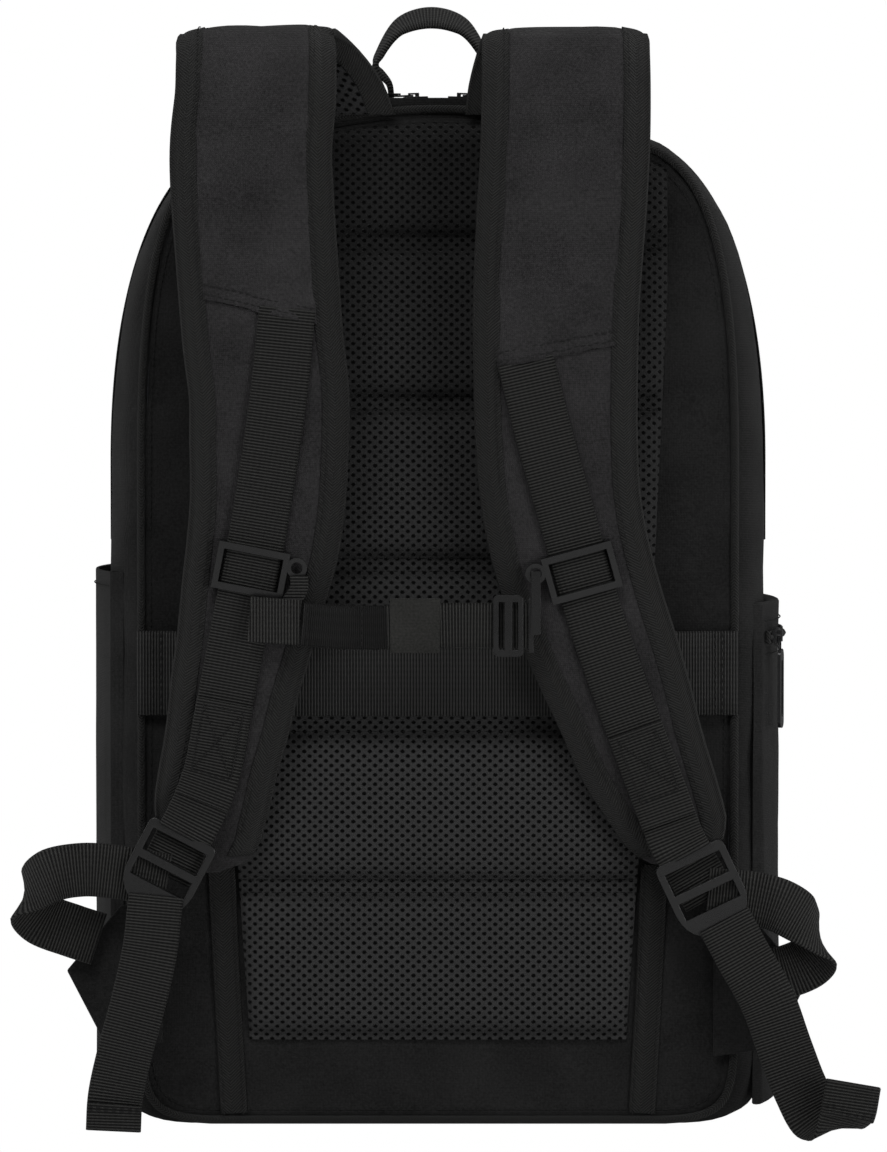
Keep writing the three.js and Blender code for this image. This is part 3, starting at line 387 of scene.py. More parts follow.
def rings_piece(name, rings, material, closed=False, uv=True):
    """Skins rings of equal count, caps the ends and writes a UV map in metres."""
    rings = np.asarray(rings, float)
    rows, columns = rings.shape[:2]
    vertices = rings.reshape(-1, 3)
    faces = grid_faces(rows, columns, closed)
    if not closed:
        faces += [tuple(range(columns))[::-1], tuple((rows - 1) * columns + j for j in range(columns))]
    piece = link(name, vertices, faces, material)
    if uv:
        around = np.linalg.norm(np.diff(rings, axis=1, append=rings[:, :1]), axis=2).mean(axis=0)
        u = np.concatenate([[0], np.cumsum(around)]) * MM
        middle = rings.mean(axis=1)
        steps = np.linalg.norm(np.diff(middle, axis=0, append=middle[:1]), axis=1)
        v = np.concatenate([[0], np.cumsum(steps)]) * MM
        layer = piece.data.uv_layers.new(name="UVMap").data
        for polygon in piece.data.polygons[: (rows if closed else rows - 1) * columns]:
            i, j = divmod(polygon.index, columns)
            for corner, (di, dj) in zip(polygon.loop_indices, ((0, 0), (0, 1), (1, 1), (1, 0))):
                layer[corner].uv = (u[j + dj], v[i + di])
    return fix_normals(piece)


def sweep(name, path, section, material, across=(1, 0, 0), closed=False):
    """Carries a section, or a section for each point, along a path in millimetres."""
    _, wide, thick = frames(path, across, closed)
    sections = section if callable(section) else (lambda t: section)
    rings = []
    for i, point in enumerate(path):
        shape = np.asarray(sections(i / (len(path) - 1)))
        rings.append(point + shape[:, :1] * wide[i] + shape[:, 1:] * thick[i])
    return rings_piece(name, rings, material, closed)


def strip_section(width, thickness, columns=6, crown=0.0):
    """A webbing section: flat faces with rounded edges, a little thicker in the middle."""
    a, b = width / 2, thickness / 2
    xs = np.linspace(-a + b, a - b, columns)
    top = [(x, b + crown * (1 - (x / a) ** 2)) for x in xs]
    return [(-a, 0), *top, (a, 0), *[(x, -y) for x, y in reversed(top)]]


WEB_THICKNESS = 1.7


def webbing(name, path, width=25, material=None, across=(1, 0, 0), thickness=WEB_THICKNESS):
    return sweep(name, path, strip_section(width, thickness), material or WEBBING, across)


# %% [markdown]
# ## Copies of moulded pieces with soft edges
# Buckles and sliders keep the exact shape that was built for them. A moulding has no knife
# edges, so each gets a merged copy whose edges are bevelled and whose normals are even.


# %% Softened copies
def softened(node, material, bevel=0.35, segments=2, angle=35, uv=None):
    """A copy of a built solid with round edges. `uv` names the two axes its ribs follow."""
    source = frame["nodes"][node]
    body = body_of(source)[0]
    mesh = source.data.copy()
    mesh.transform(source.matrix_world)
    work = bmesh.new()
    work.from_mesh(mesh)
    bmesh.ops.remove_doubles(work, verts=work.verts, dist=1e-6)
    bmesh.ops.dissolve_limit(work, angle_limit=math.radians(2), verts=work.verts, edges=work.edges)
    work.to_mesh(mesh)
    work.free()
    mesh.materials.clear()
    mesh.materials.append(material)
    piece = bpy.data.objects.new(node + "_moulded", mesh)
    bpy.context.scene.collection.objects.link(piece)
    soft = piece.modifiers.new("bevel", "BEVEL")
    soft.width, soft.segments, soft.limit_method = bevel * MM, segments, "ANGLE"
    soft.angle_limit = math.radians(angle)
    baked = bpy.data.meshes.new_from_object(piece.evaluated_get(bpy.context.evaluated_depsgraph_get()))
    piece.modifiers.clear()
    piece.data = baked
    baked.polygons.foreach_set("use_smooth", [True] * len(baked.polygons))
    if uv:
        layer = (baked.uv_layers.active or baked.uv_layers.new(name="UVMap")).data
        for corner in baked.loops:
            place = baked.vertices[corner.vertex_index].co
            layer[corner.index].uv = (place[uv[0]], place[uv[1]])
    even_normals = piece.modifiers.new("normals", "WEIGHTED_NORMAL")
    even_normals.keep_sharp = True
    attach(piece, body)
    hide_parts(node)
    return piece


def finished(piece, body, slot, *nodes):
    """Says where a finished piece rides and which solids it stands for. `slot` is not used."""
    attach(piece, body)
    if nodes:
        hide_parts(*nodes)
    return piece


# %% [markdown]
# ## Stitching
# A seam is hundreds of short threads. Every seam's path is collected for its body, and one
# Geometry Nodes tree lays the threads along all of them: it resamples each curve at the
# stitch pitch, puts a small capsule on every point and realizes the result.

# %% Stitch tree
seams = {}
STITCH_PITCH = 3.1
STITCH_LENGTH = 2.3
STITCH_RADIUS = 0.33


def seam(body, path):
    seams.setdefault(body, []).append(np.asarray(path, float))


def stitch_tree():
    tree = bpy.data.node_groups.new("stitches", "GeometryNodeTree")
    face = tree.interface
    face.new_socket("Geometry", in_out="INPUT", socket_type="NodeSocketGeometry")
    for title in ("Pitch", "Length", "Radius"):
        face.new_socket(title, in_out="INPUT", socket_type="NodeSocketFloat")
    face.new_socket("Thread", in_out="INPUT", socket_type="NodeSocketMaterial")
    face.new_socket("Geometry", in_out="OUTPUT", socket_type="NodeSocketGeometry")

    def add(kind, **settings):
        made = tree.nodes.new(kind)
        for key, value in settings.items():
            setattr(made, key, value)
        return made

    ends = add("NodeGroupInput"), add("NodeGroupOutput")
    dots = add("GeometryNodeCurveToPoints", mode="LENGTH")
    ball = add("GeometryNodeMeshUVSphere")
    ball.inputs["Segments"].default_value, ball.inputs["Rings"].default_value = 6, 4
    size = add("ShaderNodeCombineXYZ")
    shape = add("GeometryNodeTransform")
    copies = add("GeometryNodeInstanceOnPoints")
    real = add("GeometryNodeRealizeInstances")
    paint = add("GeometryNodeSetMaterial")
    wires = [
        (ends[0].outputs["Geometry"], dots.inputs["Curve"]),
        (ends[0].outputs["Pitch"], dots.inputs["Length"]),
        (ends[0].outputs["Radius"], size.inputs["X"]),
        (ends[0].outputs["Radius"], size.inputs["Y"]),
        (ends[0].outputs["Length"], size.inputs["Z"]),
        (ball.outputs["Mesh"], shape.inputs["Geometry"]),
        (size.outputs["Vector"], shape.inputs["Scale"]),
        (dots.outputs["Points"], copies.inputs["Points"]),
        (dots.outputs["Rotation"], copies.inputs["Rotation"]),
        (shape.outputs["Geometry"], copies.inputs["Instance"]),
        (copies.outputs["Instances"], real.inputs["Geometry"]),
        (real.outputs["Geometry"], paint.inputs["Geometry"]),
        (ends[0].outputs["Thread"], paint.inputs["Material"]),
        (paint.outputs["Geometry"], ends[1].inputs["Geometry"]),
    ]
    for out, into in wires:
        tree.links.new(out, into)
    return tree


def sew(body, slot="strap_fabric"):
    curve = bpy.data.curves.new("seam_paths", "CURVE")
    curve.dimensions = "3D"
    for path in seams.get(body, []):
        spline = curve.splines.new("POLY")
        spline.points.add(len(path) - 1)
        spline.points.foreach_set("co", np.hstack([path * MM, np.ones((len(path), 1))]).ravel())
    holder = bpy.data.objects.new("seam_paths", curve)
    bpy.context.scene.collection.objects.link(holder)
    run = holder.modifiers.new("stitches", "NODES")
    run.node_group = STITCHES
    sizes = {"Pitch": STITCH_PITCH, "Length": STITCH_LENGTH / 2, "Radius": STITCH_RADIUS}
    for item in STITCHES.interface.items_tree:
        if item.name in sizes:
            run[item.identifier] = sizes[item.name] * MM
        if item.name == "Thread":
            run[item.identifier] = THREAD
    shown = holder.evaluated_get(bpy.context.evaluated_depsgraph_get())
    mesh = bpy.data.meshes.new_from_object(shown)
    bpy.data.objects.remove(holder)
    piece = bpy.data.objects.new("stitching_" + body, mesh)
    bpy.context.scene.collection.objects.link(piece)
    mesh.polygons.foreach_set("use_smooth", [True] * len(mesh.polygons))
    print("stitching on", body, len(mesh.polygons), "faces")
    return finished(piece, body, slot)


STITCHES = stitch_tree()

# %% [markdown]
# ## The body shells
# The bag body is a soft box with an arched top: a ring with the arch's outline is drawn in
# near the harness face and the front face, and skinned. The harness half and the front half
# part along the main zip, so each is its own shell with a lining inside. The front half is
# one piece of cloth that bends at the fold, so it is blended between the bag and the flap.

# %% Body outline
BODY_HEIGHT = 462
BODY_HALF = 149.5
SHOULDER_Z = 300
SPLIT_Y = -30
STATION_Y = np.array([-75, -71, -66, -58, -45, 0, 45, 57, 65, 71, 75], float)
SIDE_IN = np.array([17, 11.5, 8, 4.5, 1, 0, 1.5, 4.5, 9, 14.5, 21], float)
TOP_IN = np.array([5, 3.4, 2, 0.9, 0, 0, 2, 5, 9, 14, 20], float)
LOW_IN = np.array([4, 1.4, 0, 0, 0, 0, 0, 0, 0.2, 1.6, 5], float)


def bezier(points, steps):
    t = np.linspace(0, 1, steps, endpoint=False)[:, None]
    n = len(points) - 1
    return sum(math.comb(n, i) * t**i * (1 - t) ** (n - i) * np.array(p, float)
               for i, p in enumerate(points))


def outline(y, extra=0.0, steps=22):
    """The arched outline at depth y, drawn in by `extra`, as rows of x, y and z."""
    side, top_in, low_in = (np.interp(y, STATION_Y, v) for v in (SIDE_IN, TOP_IN, LOW_IN))
    half, top, low = BODY_HALF - side - extra, BODY_HEIGHT - top_in - extra, low_in + extra
    arch, corner = half - 53 + 0.8 * side, 30 - min(extra, 20)
    right = np.vstack([
        bezier([(0, low), (half - corner, low)], steps // 2),
        bezier([(half - corner, low), (half - 6, low + 1), (half - 1, low + 7), (half, low + corner)], 10),
        bezier([(half, low + corner), (half, SHOULDER_Z)], steps),
        bezier([(half, SHOULDER_Z), (half, SHOULDER_Z + 85), (arch + 30, top - 28), (arch, top - 17)], steps),
        bezier([(arch, top - 17), (arch / 2, top - 0.01), (0, top)], steps // 2), [(0, top)],
    ])
    left = right[1:-1][::-1] * (-1, 1)
    flat = np.vstack([right, left])
    return np.column_stack([flat[:, 0], np.full(len(flat), y), flat[:, 1]])


def rumple(points, normals, amount, size, seed=0.0):
    """Moves points along their normals by a slow, seeded noise, as soft cloth does."""
    lift = np.array([noise.fractal(Vector(p / size) + Vector((seed, 7 * seed, 3)), 0.9, 2.1, 3) for p in points])
    return points + normals * (lift * amount)[:, None]


def cap_rings(ring, centre, bulge, shares):
    """Rings that shrink from `ring` to a point, standing `bulge` proud at the middle."""
    return [centre + (ring - centre) * share + np.array([0, bulge * (1 - share**2), 0]) for share in shares]


CAP_SHARES = [0.985, 0.96, 0.92, 0.86, 0.78, 0.68, 0.56, 0.43, 0.3, 0.17, 0.06, 0.004]


def shell_piece(name, depths, cap_y, bulge, seed):
    """One half of the body: outer skin, rolled edge at the zip and lining inside."""
    centre = np.array([0, cap_y, 225.0])
    skin = [outline(y) for y in depths]
    outward = 1 if cap_y > 0 else -1
    cap = cap_rings(skin[-1], centre, outward * bulge, CAP_SHARES)
    wall = 2.6
    inner_cap = cap_rings(outline(cap_y, wall), centre, 0, CAP_SHARES[::-1])
    for ring in inner_cap:
        ring[:, 1] -= outward * wall
    lining = [outline(y, wall) for y in depths[::-1]]
    lining[0][:, 1] -= outward * wall
    rings = np.array([*skin, *cap, *inner_cap, *lining])
    count = rings.shape[1]
    outer = len(skin) + len(cap)
    flat = rings.reshape(-1, 3)
    radial = unit(flat * (1, 0, 1) - (0, 0, 215))
    face = np.zeros_like(flat)
    face[:, 1] = outward
    ease = np.clip((flat[:, 1] * outward - 52) / 23, 0, 1)[:, None]
    normals = unit(radial * (1 - ease) + face * ease)
    edge = np.clip(np.abs(flat[:, 1] - depths[0]) / 14, 0, 1) * np.clip(flat[:, 2] / 40, 0, 1)
    edge[outer * count :] *= 0.25
    moved = rumple(flat, normals * edge[:, None], 2.1, 62, seed)
    piece = link(name, moved, grid_faces(len(rings), count), [BODY, LINING])
    last = (len(rings) - 1) * count
    extra = [(last + j, last + (j + 1) % count, (j + 1) % count, j) for j in range(count)]
    work = bmesh.new()
    work.from_mesh(piece.data)
    work.verts.ensure_lookup_table()
    for face_loop in extra:
        work.faces.new([work.verts[k] for k in face_loop])
    for polygon in work.faces:
        polygon.smooth = True
        rows = [v.index // count for v in polygon.verts]
        polygon.material_index = int(min(rows) >= outer)
    bmesh.ops.remove_doubles(work, verts=work.verts, dist=0.02 * MM)
    bmesh.ops.recalc_face_normals(work, faces=work.faces)
    work.to_mesh(piece.data)
    work.free()
    return piece


rear_depths = [-30.3, -31.2, -36, -42, -48, -54, -60, -65, -69, -72, -74.2, -75]
rear_shell = shell_piece("rear_body_shell", rear_depths, -75, 0, 1.7)
finished(rear_shell, "bag", "shell_fabric", "rear_shell")
front_depths = [-29.7, -28.8, -22, -10, 5, 20, 34, 44, 52, 59, 65, 70, 73.4, 75]
front_shell = shell_piece("front_body_shell", front_depths, 75, 3.5, 4.3)
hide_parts("lower_shell", "front_flap")
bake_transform(front_shell, "bag", "front_flap", start=(0, 0.075, 0.221), end=(0, 0.075, 0.291))
print("shells", len(rear_shell.data.polygons), len(front_shell.data.polygons), "faces")

# %% [markdown]
# ## The padded back
# Six foam rows lie under one sheet of spacer mesh, stitched down in the channels between
# them. The mesh is a height field: each row is a flat-topped pillow that rolls over at its
# edges. Its holes are part of the finish: a staggered lattice
# that darkens and dents the cloth. The finish also carries painted shade, darker towards the top of the back.

# %% Padded back
PAD_TOP, PAD_BOTTOM, PAD_CHANNEL, PAD_ROWS = 436, 43, 7.5, 6
PAD_PITCH, FIRST_CHANNEL = 72.4, 108.8
channels = [PAD_BOTTOM - PAD_CHANNEL / 2, *[FIRST_CHANNEL + i * PAD_PITCH for i in range(PAD_ROWS - 1)],
            460]
MESH_VALLEY, MESH_CROWN = -77.0, -87.4


def pad_half(z):
    return np.interp(z, [-60, 42, 114, 265, 375, 500], [84, 85, 90, 98, 103, 103])


def row_height(z, u):
    """0 in a channel to 1 on a pillow's crown; u runs from -1 to 1 across the back."""
    gap = np.min([np.abs(z - c) for c in channels], axis=0) - 3.6
    rise = 0.14 + 0.86 * np.sqrt(np.clip(1 - (1 - np.clip(gap / 14, 0, 1)) ** 2.4, 0, 1))
    edge = np.clip(np.abs(u), 0, 1)
    return rise * np.sqrt(np.clip(1 - edge**16, 0, 1))


MESH_CELL = 1.3
columns = int(210 / MESH_CELL) + 1
levels = int((453 - PAD_BOTTOM + 4) / MESH_CELL) + 1
gz = PAD_BOTTOM - 3.5 + np.arange(levels)[:, None] * MESH_CELL * np.ones((1, columns))
u = np.linspace(-1, 1, columns)[None, :] * np.ones((levels, 1))
gx = u * pad_half(gz)
arch_z = 452.0 - 17 * (gx / 93) ** 2  # the mesh ends under the arched seam
height = row_height(gz, u) * np.sqrt(np.clip((arch_z - gz) / 9, 0, 1))
soft = np.array([[noise.noise(Vector((x * 3.4, z / 23, 5.5))) for x in u[0]] for z in gz[:, 0]])
gy = MESH_VALLEY + (MESH_CROWN - MESH_VALLEY) * height * (1 + 0.06 * soft)
inside = gz <= arch_z + 1.5
index = -np.ones(gx.shape, int)
index[inside] = np.arange(inside.sum())
corners = np.stack([index[:-1, :-1], index[:-1, 1:], index[1:, 1:], index[1:, :-1]], axis=-1).reshape(-1, 4)
quads = corners[(corners >= 0).all(axis=1)]
points = np.stack([gx, gy, gz], axis=-1)[inside]
mesh_back = link("spacer_mesh_back", points, quads.tolist(), MESH)
for channel in channels[1:-1]:
    for z in (channel - 2.8, channel + 2.8):
        half = float(pad_half(z)) - 3
        seam("bag", [(x, MESH_VALLEY - 1.5, z) for x in np.linspace(-half, half, 80)])
finished(mesh_back, "bag", "spacer_mesh", "mesh_panel", *[f"back_pad_{i + 1}" for i in range(PAD_ROWS)])
print("mesh back", len(quads), "faces")

# %% [markdown]
# ## Trim on the back: yoke, piping, rails and trolley band
# The yoke and the rails are flat cloth with folded edges, so thin rounded plates do. The
# piping is a cord in cloth run round the panel seam. The trolley band is a wide webbing that
# lies over the rows and dives to the side seams.

# %% Trim
def plate(name, corners, y_near, thickness, material, crown=0.0):
    """A flat panel in the X-Z plane with rounded edges, its near face at y_near."""
    corners = np.array(corners, float)
    centre = corners.mean(axis=0)
    rings = []
    for share, depth in ((0.02, 0), (0.5, 0), (0.9, 0.05), (0.985, 0.25), (1, 0.5), (0.985, 0.9), (0.5, 1), (0.02, 1)):
        flat = centre + (corners - centre) * share
        y = y_near + thickness * depth - crown * (1 - share**2) * (depth < 0.5)
        rings.append(np.column_stack([flat[:, 0], np.full(len(flat), y), flat[:, 1]]))
    return rings_piece(name, rings, material)


def fillet(corners, steps=8, share=0.12):
    """Rounds a polygon's corners and spaces its sides."""
    corners = np.array(corners, float)
    out = []
    for before, here, after in zip(np.roll(corners, 1, 0), corners, np.roll(corners, -1, 0)):
        a, b = here + (before - here) * share, here + (after - here) * share
        out += list(bezier([a, here, b], steps)) + [b]
        out += list(np.linspace(b, after + (here - after) * share, 6)[1:-1])
    return out


rear_arch = outline(REAR_FACE / MM, 3.2)
arch_top = rear_arch[(rear_arch[:, 2] > 430) & (np.abs(rear_arch[:, 0]) < 86)]
arch_top = arch_top[np.argsort(arch_top[:, 0])]
yoke_outline = [*[(x, z) for x, _, z in arch_top], *[(x, 449.5 - 17 * (x / 93) ** 2) for x in np.linspace(84, -84, 24)]]
yoke = plate("yoke_cloth", yoke_outline, -78.4, 2.4, BODY)
finished(yoke, "bag", "shell_fabric", "yoke_band")
seam("bag", [(x, -79.3, z - 2.6) for x, _, z in arch_top])

piping_ring = outline(REAR_FACE / MM, -1.0)
piping_ring[:, 1] = -76.6
round_section = [(1.9 * math.cos(a), 1.9 * math.sin(a)) for a in np.linspace(0, 2 * math.pi, 10, endpoint=False)]
piping = sweep("panel_piping_cord", piping_ring, round_section, TWILL, (0, 1, 0), closed=True)
finished(piping, "bag", "binding", "panel_piping")
inset = 3.4  # mm from the cloth's edge to its seam
stitched = outline(REAR_FACE / MM, inset)
stitched[:, 1] = -75.4
seam("bag", stitched)

for side, name in ((-1, "left"), (1, "right")):
    rail = smooth_path([(side * 97.5, -77.0, 118), (side * 95, -77.0, 62), (side * 92, -77.0, 6)], 40)
    piece = webbing(f"rail_webbing_{name}", rail, 12, TWILL)
    finished(piece, "bag", "webbing", f"rail_tape_{name}")
    for offset in (-4.3, 4.3):
        seam("bag", rail + (offset, -1.1, 0))

BAND_Z, BAND_WIDTH = 205, 38
band_half = [(135.2, -80.6), (127, -80.9), (112, -84.5), (101, -88.0), (88, -89.3), (50, -89.6)]
band_points = [(-x, y, BAND_Z) for x, y in band_half] + [(0, -89.4, BAND_Z)] + [(x, y, BAND_Z) for x, y in band_half[::-1]]
band_path = smooth_path(band_points, 70)
band = webbing("trolley_band", band_path, BAND_WIDTH, BAND, (0, 0, 1))
finished(band, "bag", "webbing", "luggage_band")
for side in (-1, 1):
    seam("bag", [(side * 128, -82.2, z) for z in np.linspace(188, 222, 14)])
    seam("bag", [(side * 124.5, -82.4, z) for z in np.linspace(188, 222, 14)])

# %% [markdown]
# ## Shoulder straps
# Each strap is a foam pad between two cloths, pinched along both edges by a folded binding
# tape. The pad's section swells in the middle and is thin where the tape closes it. It is
# carried over the shoulder and down, and it narrows to a round tip. The tape is a second
# piece: a U that hugs the same edge a hair outside, all the way down.

# %% Strap paths
STRAP_Y = -86
STRAP_THICK = 12
WEB_STANDOFF = 2.4


def face_y(z):
    rise = z - 120
    return -98 - 0.15 * rise + 0.00014 * rise * rise


def over_top(root, crest):
    lean = crest - root
    return [(root, STRAP_Y, 455), (root + lean * 0.2, STRAP_Y - 0.5, 467), (root + lean * 0.7, STRAP_Y - 6, 480.5),
            (crest, STRAP_Y - 20, 487.5), (crest, STRAP_Y - 34, 480), (crest, STRAP_Y - 42, 462)]


def strap_path(stops, top, steps=110):
    return smooth_path([*top, *[(x, face_y(z), z) for x, z in stops]], steps)


STRAPS = {
    "left": {
        "path": strap_path([(-82, 436), (-79.2, 384), (-77, 354), (-74.4, 331), (-74.4, 311), (-75.2, 283),
                            (-77.4, 264), (-81, 246), (-86, 220), (-90.2, 201), (-93, 185), (-98.3, 161),
                            (-101.2, 144), (-102, 117)], over_top(-54, -80)),
        "widths": [(0, 68), (0.3, 70), (0.55, 69), (0.66, 66), (0.78, 57), (0.88, 51)],
        "webbing": [(-66, 368), (-69.8, 331), (-73.4, 306), (-80.3, 264), (-88, 226), (-94.4, 193), (-101, 160)],
        "end": (-109.4, -117.2, 140),
    },
    "right": {
        "path": strap_path([(55.8, 436), (52.1, 370), (51.9, 341), (52.3, 312), (54.3, 284), (58.9, 260),
                            (66.8, 235), (74.7, 214), (82.6, 193), (89.9, 172), (99.1, 152), (106.1, 136),
                            (110, 120)], over_top(49, 56.4)),
        "widths": [(0, 72), (0.3, 73), (0.55, 70), (0.66, 68), (0.78, 63), (0.88, 56)],
        "webbing": [(38.5, 345), (47, 311), (56.9, 276), (68.4, 235), (81.5, 197), (96.6, 157)],
        "end": (106.6, -117.2, 131),
    },
}
TIP_WIDTHS = [(0.93, 50), (0.965, 45), (0.985, 36), (0.996, 22), (1, 8)]
BINDING = 11.0  # how far the tape reaches in from the edge


def strap_width(strap, t):
    stops = np.array([*strap["widths"], *TIP_WIDTHS])
    return np.interp(t, stops[:, 0], stops[:, 1])


def pad_thickness(a, half, t):
    """Half thickness of the pad at distance a from its centre line."""
    ends = np.interp(t, [0, 0.06, 0.12, 0.93, 1], [0.55, 0.6, 1, 1, 0.5])
    inner = half - BINDING + 1
    swell = np.sqrt(np.clip(1 - np.clip(np.abs(a) / max(half - 2, 1), 0, 1) ** 3.2, 0, 1))
    pinch = np.interp(np.abs(a), [0, inner * 0.9, inner, half], [0, 0, 0.55, 0.6])
    return (2.1 + 3.7 * swell) * ends * (1 - 0.16 * pinch)


def pad_section(strap, t, grow=0.0, span=None, columns=25):
    """The pad's section; with `span`, only the closed U that covers one edge."""
    half = strap_width(strap, t) / 2
    a = half * np.sin(np.linspace(-math.pi / 2, math.pi / 2, columns))
    if span is None:
        b = pad_thickness(a, half, t)
        return np.vstack([np.column_stack([a, b]), np.column_stack([a[::-1][1:-1], -b[::-1][1:-1]])])
    side = span
    reach = min(BINDING, half * 0.9)
    a = half - reach * (1 - np.sin(np.linspace(0, math.pi / 2, 10)))
    b = pad_thickness(a, half, t)
    def u_shape(extra):
        lift = b + extra
        run = np.vstack([np.column_stack([a, lift]), [(half + extra, 0)], np.column_stack([a[::-1], -lift[::-1]])])
        return run * (side, 1)
    return np.vstack([u_shape(grow), u_shape(0.12)[::-1]])


# %% Pads, tapes and webbing of each strap
def strap_frames(path):
    """As frames(), but the sewn end at the top is cut level."""
    tangent, wide, thick = frames(path)
    level = np.clip(1 - np.arange(len(path)) / 16, 0, 1)[:, None]
    return tangent, wide * (1 - level) + np.array([1.0, 0, 0]) * level, thick


for name, strap in STRAPS.items():
    path, body = strap["path"], f"strap_{name}"
    last = len(path) - 1
    strap["frame"] = strap_frames(path)
    _, wide, thick = strap["frame"]
    sections = [pad_section(strap, i / last) for i in range(last + 1)]
    rings = [path[i] + s[:, :1] * wide[i] + s[:, 1:] * thick[i] for i, s in enumerate(sections)]
    flat = np.array(rings).reshape(-1, 3)
    lift = np.repeat(thick, len(sections[0]), axis=0)
    rings = rumple(flat, lift, 0.8, 38, 2.2 + len(name)).reshape(len(path), -1, 3)
    pad = rings_piece(f"shoulder_pad_{name}_cloth", rings, STRAP)
    pad.data.materials.append(MESH_UNDER)
    sign = np.sign(np.mean([thick[i] @ np.array([0, -1, 0]) for i in range(60, 90)]))
    for polygon in pad.data.polygons:
        row = min(polygon.vertices[0] // len(sections[0]), last)
        polygon.material_index = int(np.array(polygon.normal) @ thick[row] * sign < -0.2)
    finished(pad, body, "strap_fabric", f"shoulder_pad_{name}")
    for side, edge in ((-1, "outer"), (1, "inner")):
        rings = []
        for i in range(last - 1):
            s = pad_section(strap, i / last, 0.85, side)
            rings.append(path[i] + s[:, :1] * wide[i] + s[:, 1:] * thick[i])
        flat = np.array(rings).reshape(-1, 3)
        lift = np.repeat(thick[: last - 1], len(rings[0]), axis=0)
        rings = rumple(flat, lift, 0.8, 38, 2.2 + len(name)).reshape(last - 1, -1, 3)
        tape = rings_piece(f"strap_binding_{name}_{edge}", rings, TWILL)
        finished(tape, body, "binding")
        line = []
        for i in range(3, last - 4):
            half = strap_width(strap, i / last) / 2
            a = half - BINDING + 2.2
            b = pad_thickness(a, half, i / last) + 1.0
            line.append(path[i] + side * a * wide[i] - b * thick[i])
        sign = np.sign(np.mean([thick[i] @ np.array([0, -1, 0]) for i in range(60, 90)]))
        if sign > 0:
            line = [p + 2 * (pad_thickness(strap_width(strap, (k + 3) / last) / 2 - BINDING + 2.2,
                                           strap_width(strap, (k + 3) / last) / 2, (k + 3) / last) + 1.0) * thick[k + 3]
                    for k, p in enumerate(line)]
        strap["front"] = sign
        seam(body, line)
    stops = [(x, face_y(z) - STRAP_THICK / 2 - WEB_STANDOFF - WEB_THICKNESS / 2 + (2.0 if i == 0 else 0), z)
             for i, (x, z) in enumerate(strap["webbing"])]
    bar = np.array(strap["end"]) + np.array([-3.2, 1.2, -5.5]) * ((1, 1, 1) if name == "left" else (-1, 1, 1))
    strap["web_path"] = smooth_path([*stops, strap["end"], bar], 96)
    web = webbing(f"shoulder_webbing_{name}_ribbed", strap["web_path"])
    finished(web, body, "webbing", f"shoulder_webbing_{name}")
    print(name, "strap", len(pad.data.polygons), "faces, thickness sign", sign)

# %% [markdown]
# ## Upper strap panels
# On each strap a second cloth runs from the shoulder down to a slanted seam, where it is
# folded under and stitched over the webbing's end. The panel is a thin closed sheet that
# follows the pad's swell and rides up where the webbing lies beneath it.

# %% Upper panels and box stitches
def on_front(strap, row, a, lift=0.35):
    """A point on the strap's outer face at a fractional row, `a` from its centre line."""
    path, last = strap["path"], len(strap["path"]) - 1
    _, wide, thick = strap["frame"]
    low = int(min(row, last - 1))
    blend = row - low
    centre, w, n = (v[low] * (1 - blend) + v[low + 1] * blend for v in (path, wide, thick))
    half = strap_width(strap, row / last) / 2
    return centre + a * w + strap["front"] * (pad_thickness(a, half, row / last) + lift) * n


SEAM_LINES = {"left": ((-102.7, 371.8), (-53.5, 361.3)), "right": ((25.5, 342), (78.2, 352))}
for name, strap in STRAPS.items():
    body, path = f"strap_{name}", strap["path"]
    (x0, z0), (x1, z1) = SEAM_LINES[name]
    edge = strap_width(strap, 0.35) / 2 - BINDING + 0.6
    web_x = strap["web_path"][0][0]
    across = np.linspace(-edge, edge, 33)

    def seam_row(a):
        rows = np.linspace(28, 70, 200)
        gaps = []
        for row in rows:
            x, _, z = on_front(strap, row, a)
            gaps.append(abs(z - (z0 + (z1 - z0) * (x - x0) / (x1 - x0))))
        return rows[int(np.argmin(gaps))]

    ends = [seam_row(a) for a in across]
    sheet_rings = []
    for share in np.linspace(0, 1, 44) ** 0.75:
        outer, inner = [], []
        for a, end in zip(across, ends):
            row = 12 + (end - 12) * share
            x = on_front(strap, row, a)[0]
            under = np.clip(1.25 - abs(x - web_x) / 12.5, 0, 1) * np.clip((row - end) / 4 + 1, 0, 1)
            fold = 0.5 * np.clip((row - end) / 1.2 + 1, 0, 1)
            outer.append(on_front(strap, row, a, 0.75 + 1.9 * under + fold))
            inner.append(on_front(strap, row, a, 0.05 + 1.6 * under))
        sheet_rings.append([*outer, *inner[::-1]])
    panel = rings_piece(f"upper_panel_{name}", sheet_rings, STRAP)
    finished(panel, body, "strap_fabric")
    for back in (1.0, 2.9):
        line = []
        for a, end in zip(across[1:-1], ends[1:-1]):
            x = on_front(strap, end, a)[0]
            under = np.clip(1.25 - abs(x - web_x) / 12.5, 0, 1) * np.clip(1 - back / 4, 0, 1)
            line.append(on_front(strap, end - back * 0.55, a, 1.15 + 1.9 * under))
        seam(body, line)
    web = strap["web_path"]
    _, wide, _ = frames(web)
    out = np.array([0, -WEB_THICKNESS / 2 - 0.25, 0])
    low, high = len(web) - 25, len(web) - 13
    doubled = webbing(f"webbing_lap_{name}", web[low - 1 : high + 6] + (0, -WEB_THICKNESS, 0), 25.2)
    finished(doubled, body, "webbing")
    out = out + (0, -WEB_THICKNESS, 0)
    corners = [(low, -9), (high, -9), (high, 9), (low, 9), (low, -9), (high, 9), (low, 9), (high, -9)]
    seam(body, even(np.array([web[i] + out + side * wide[i] for i, side in corners]), 90))

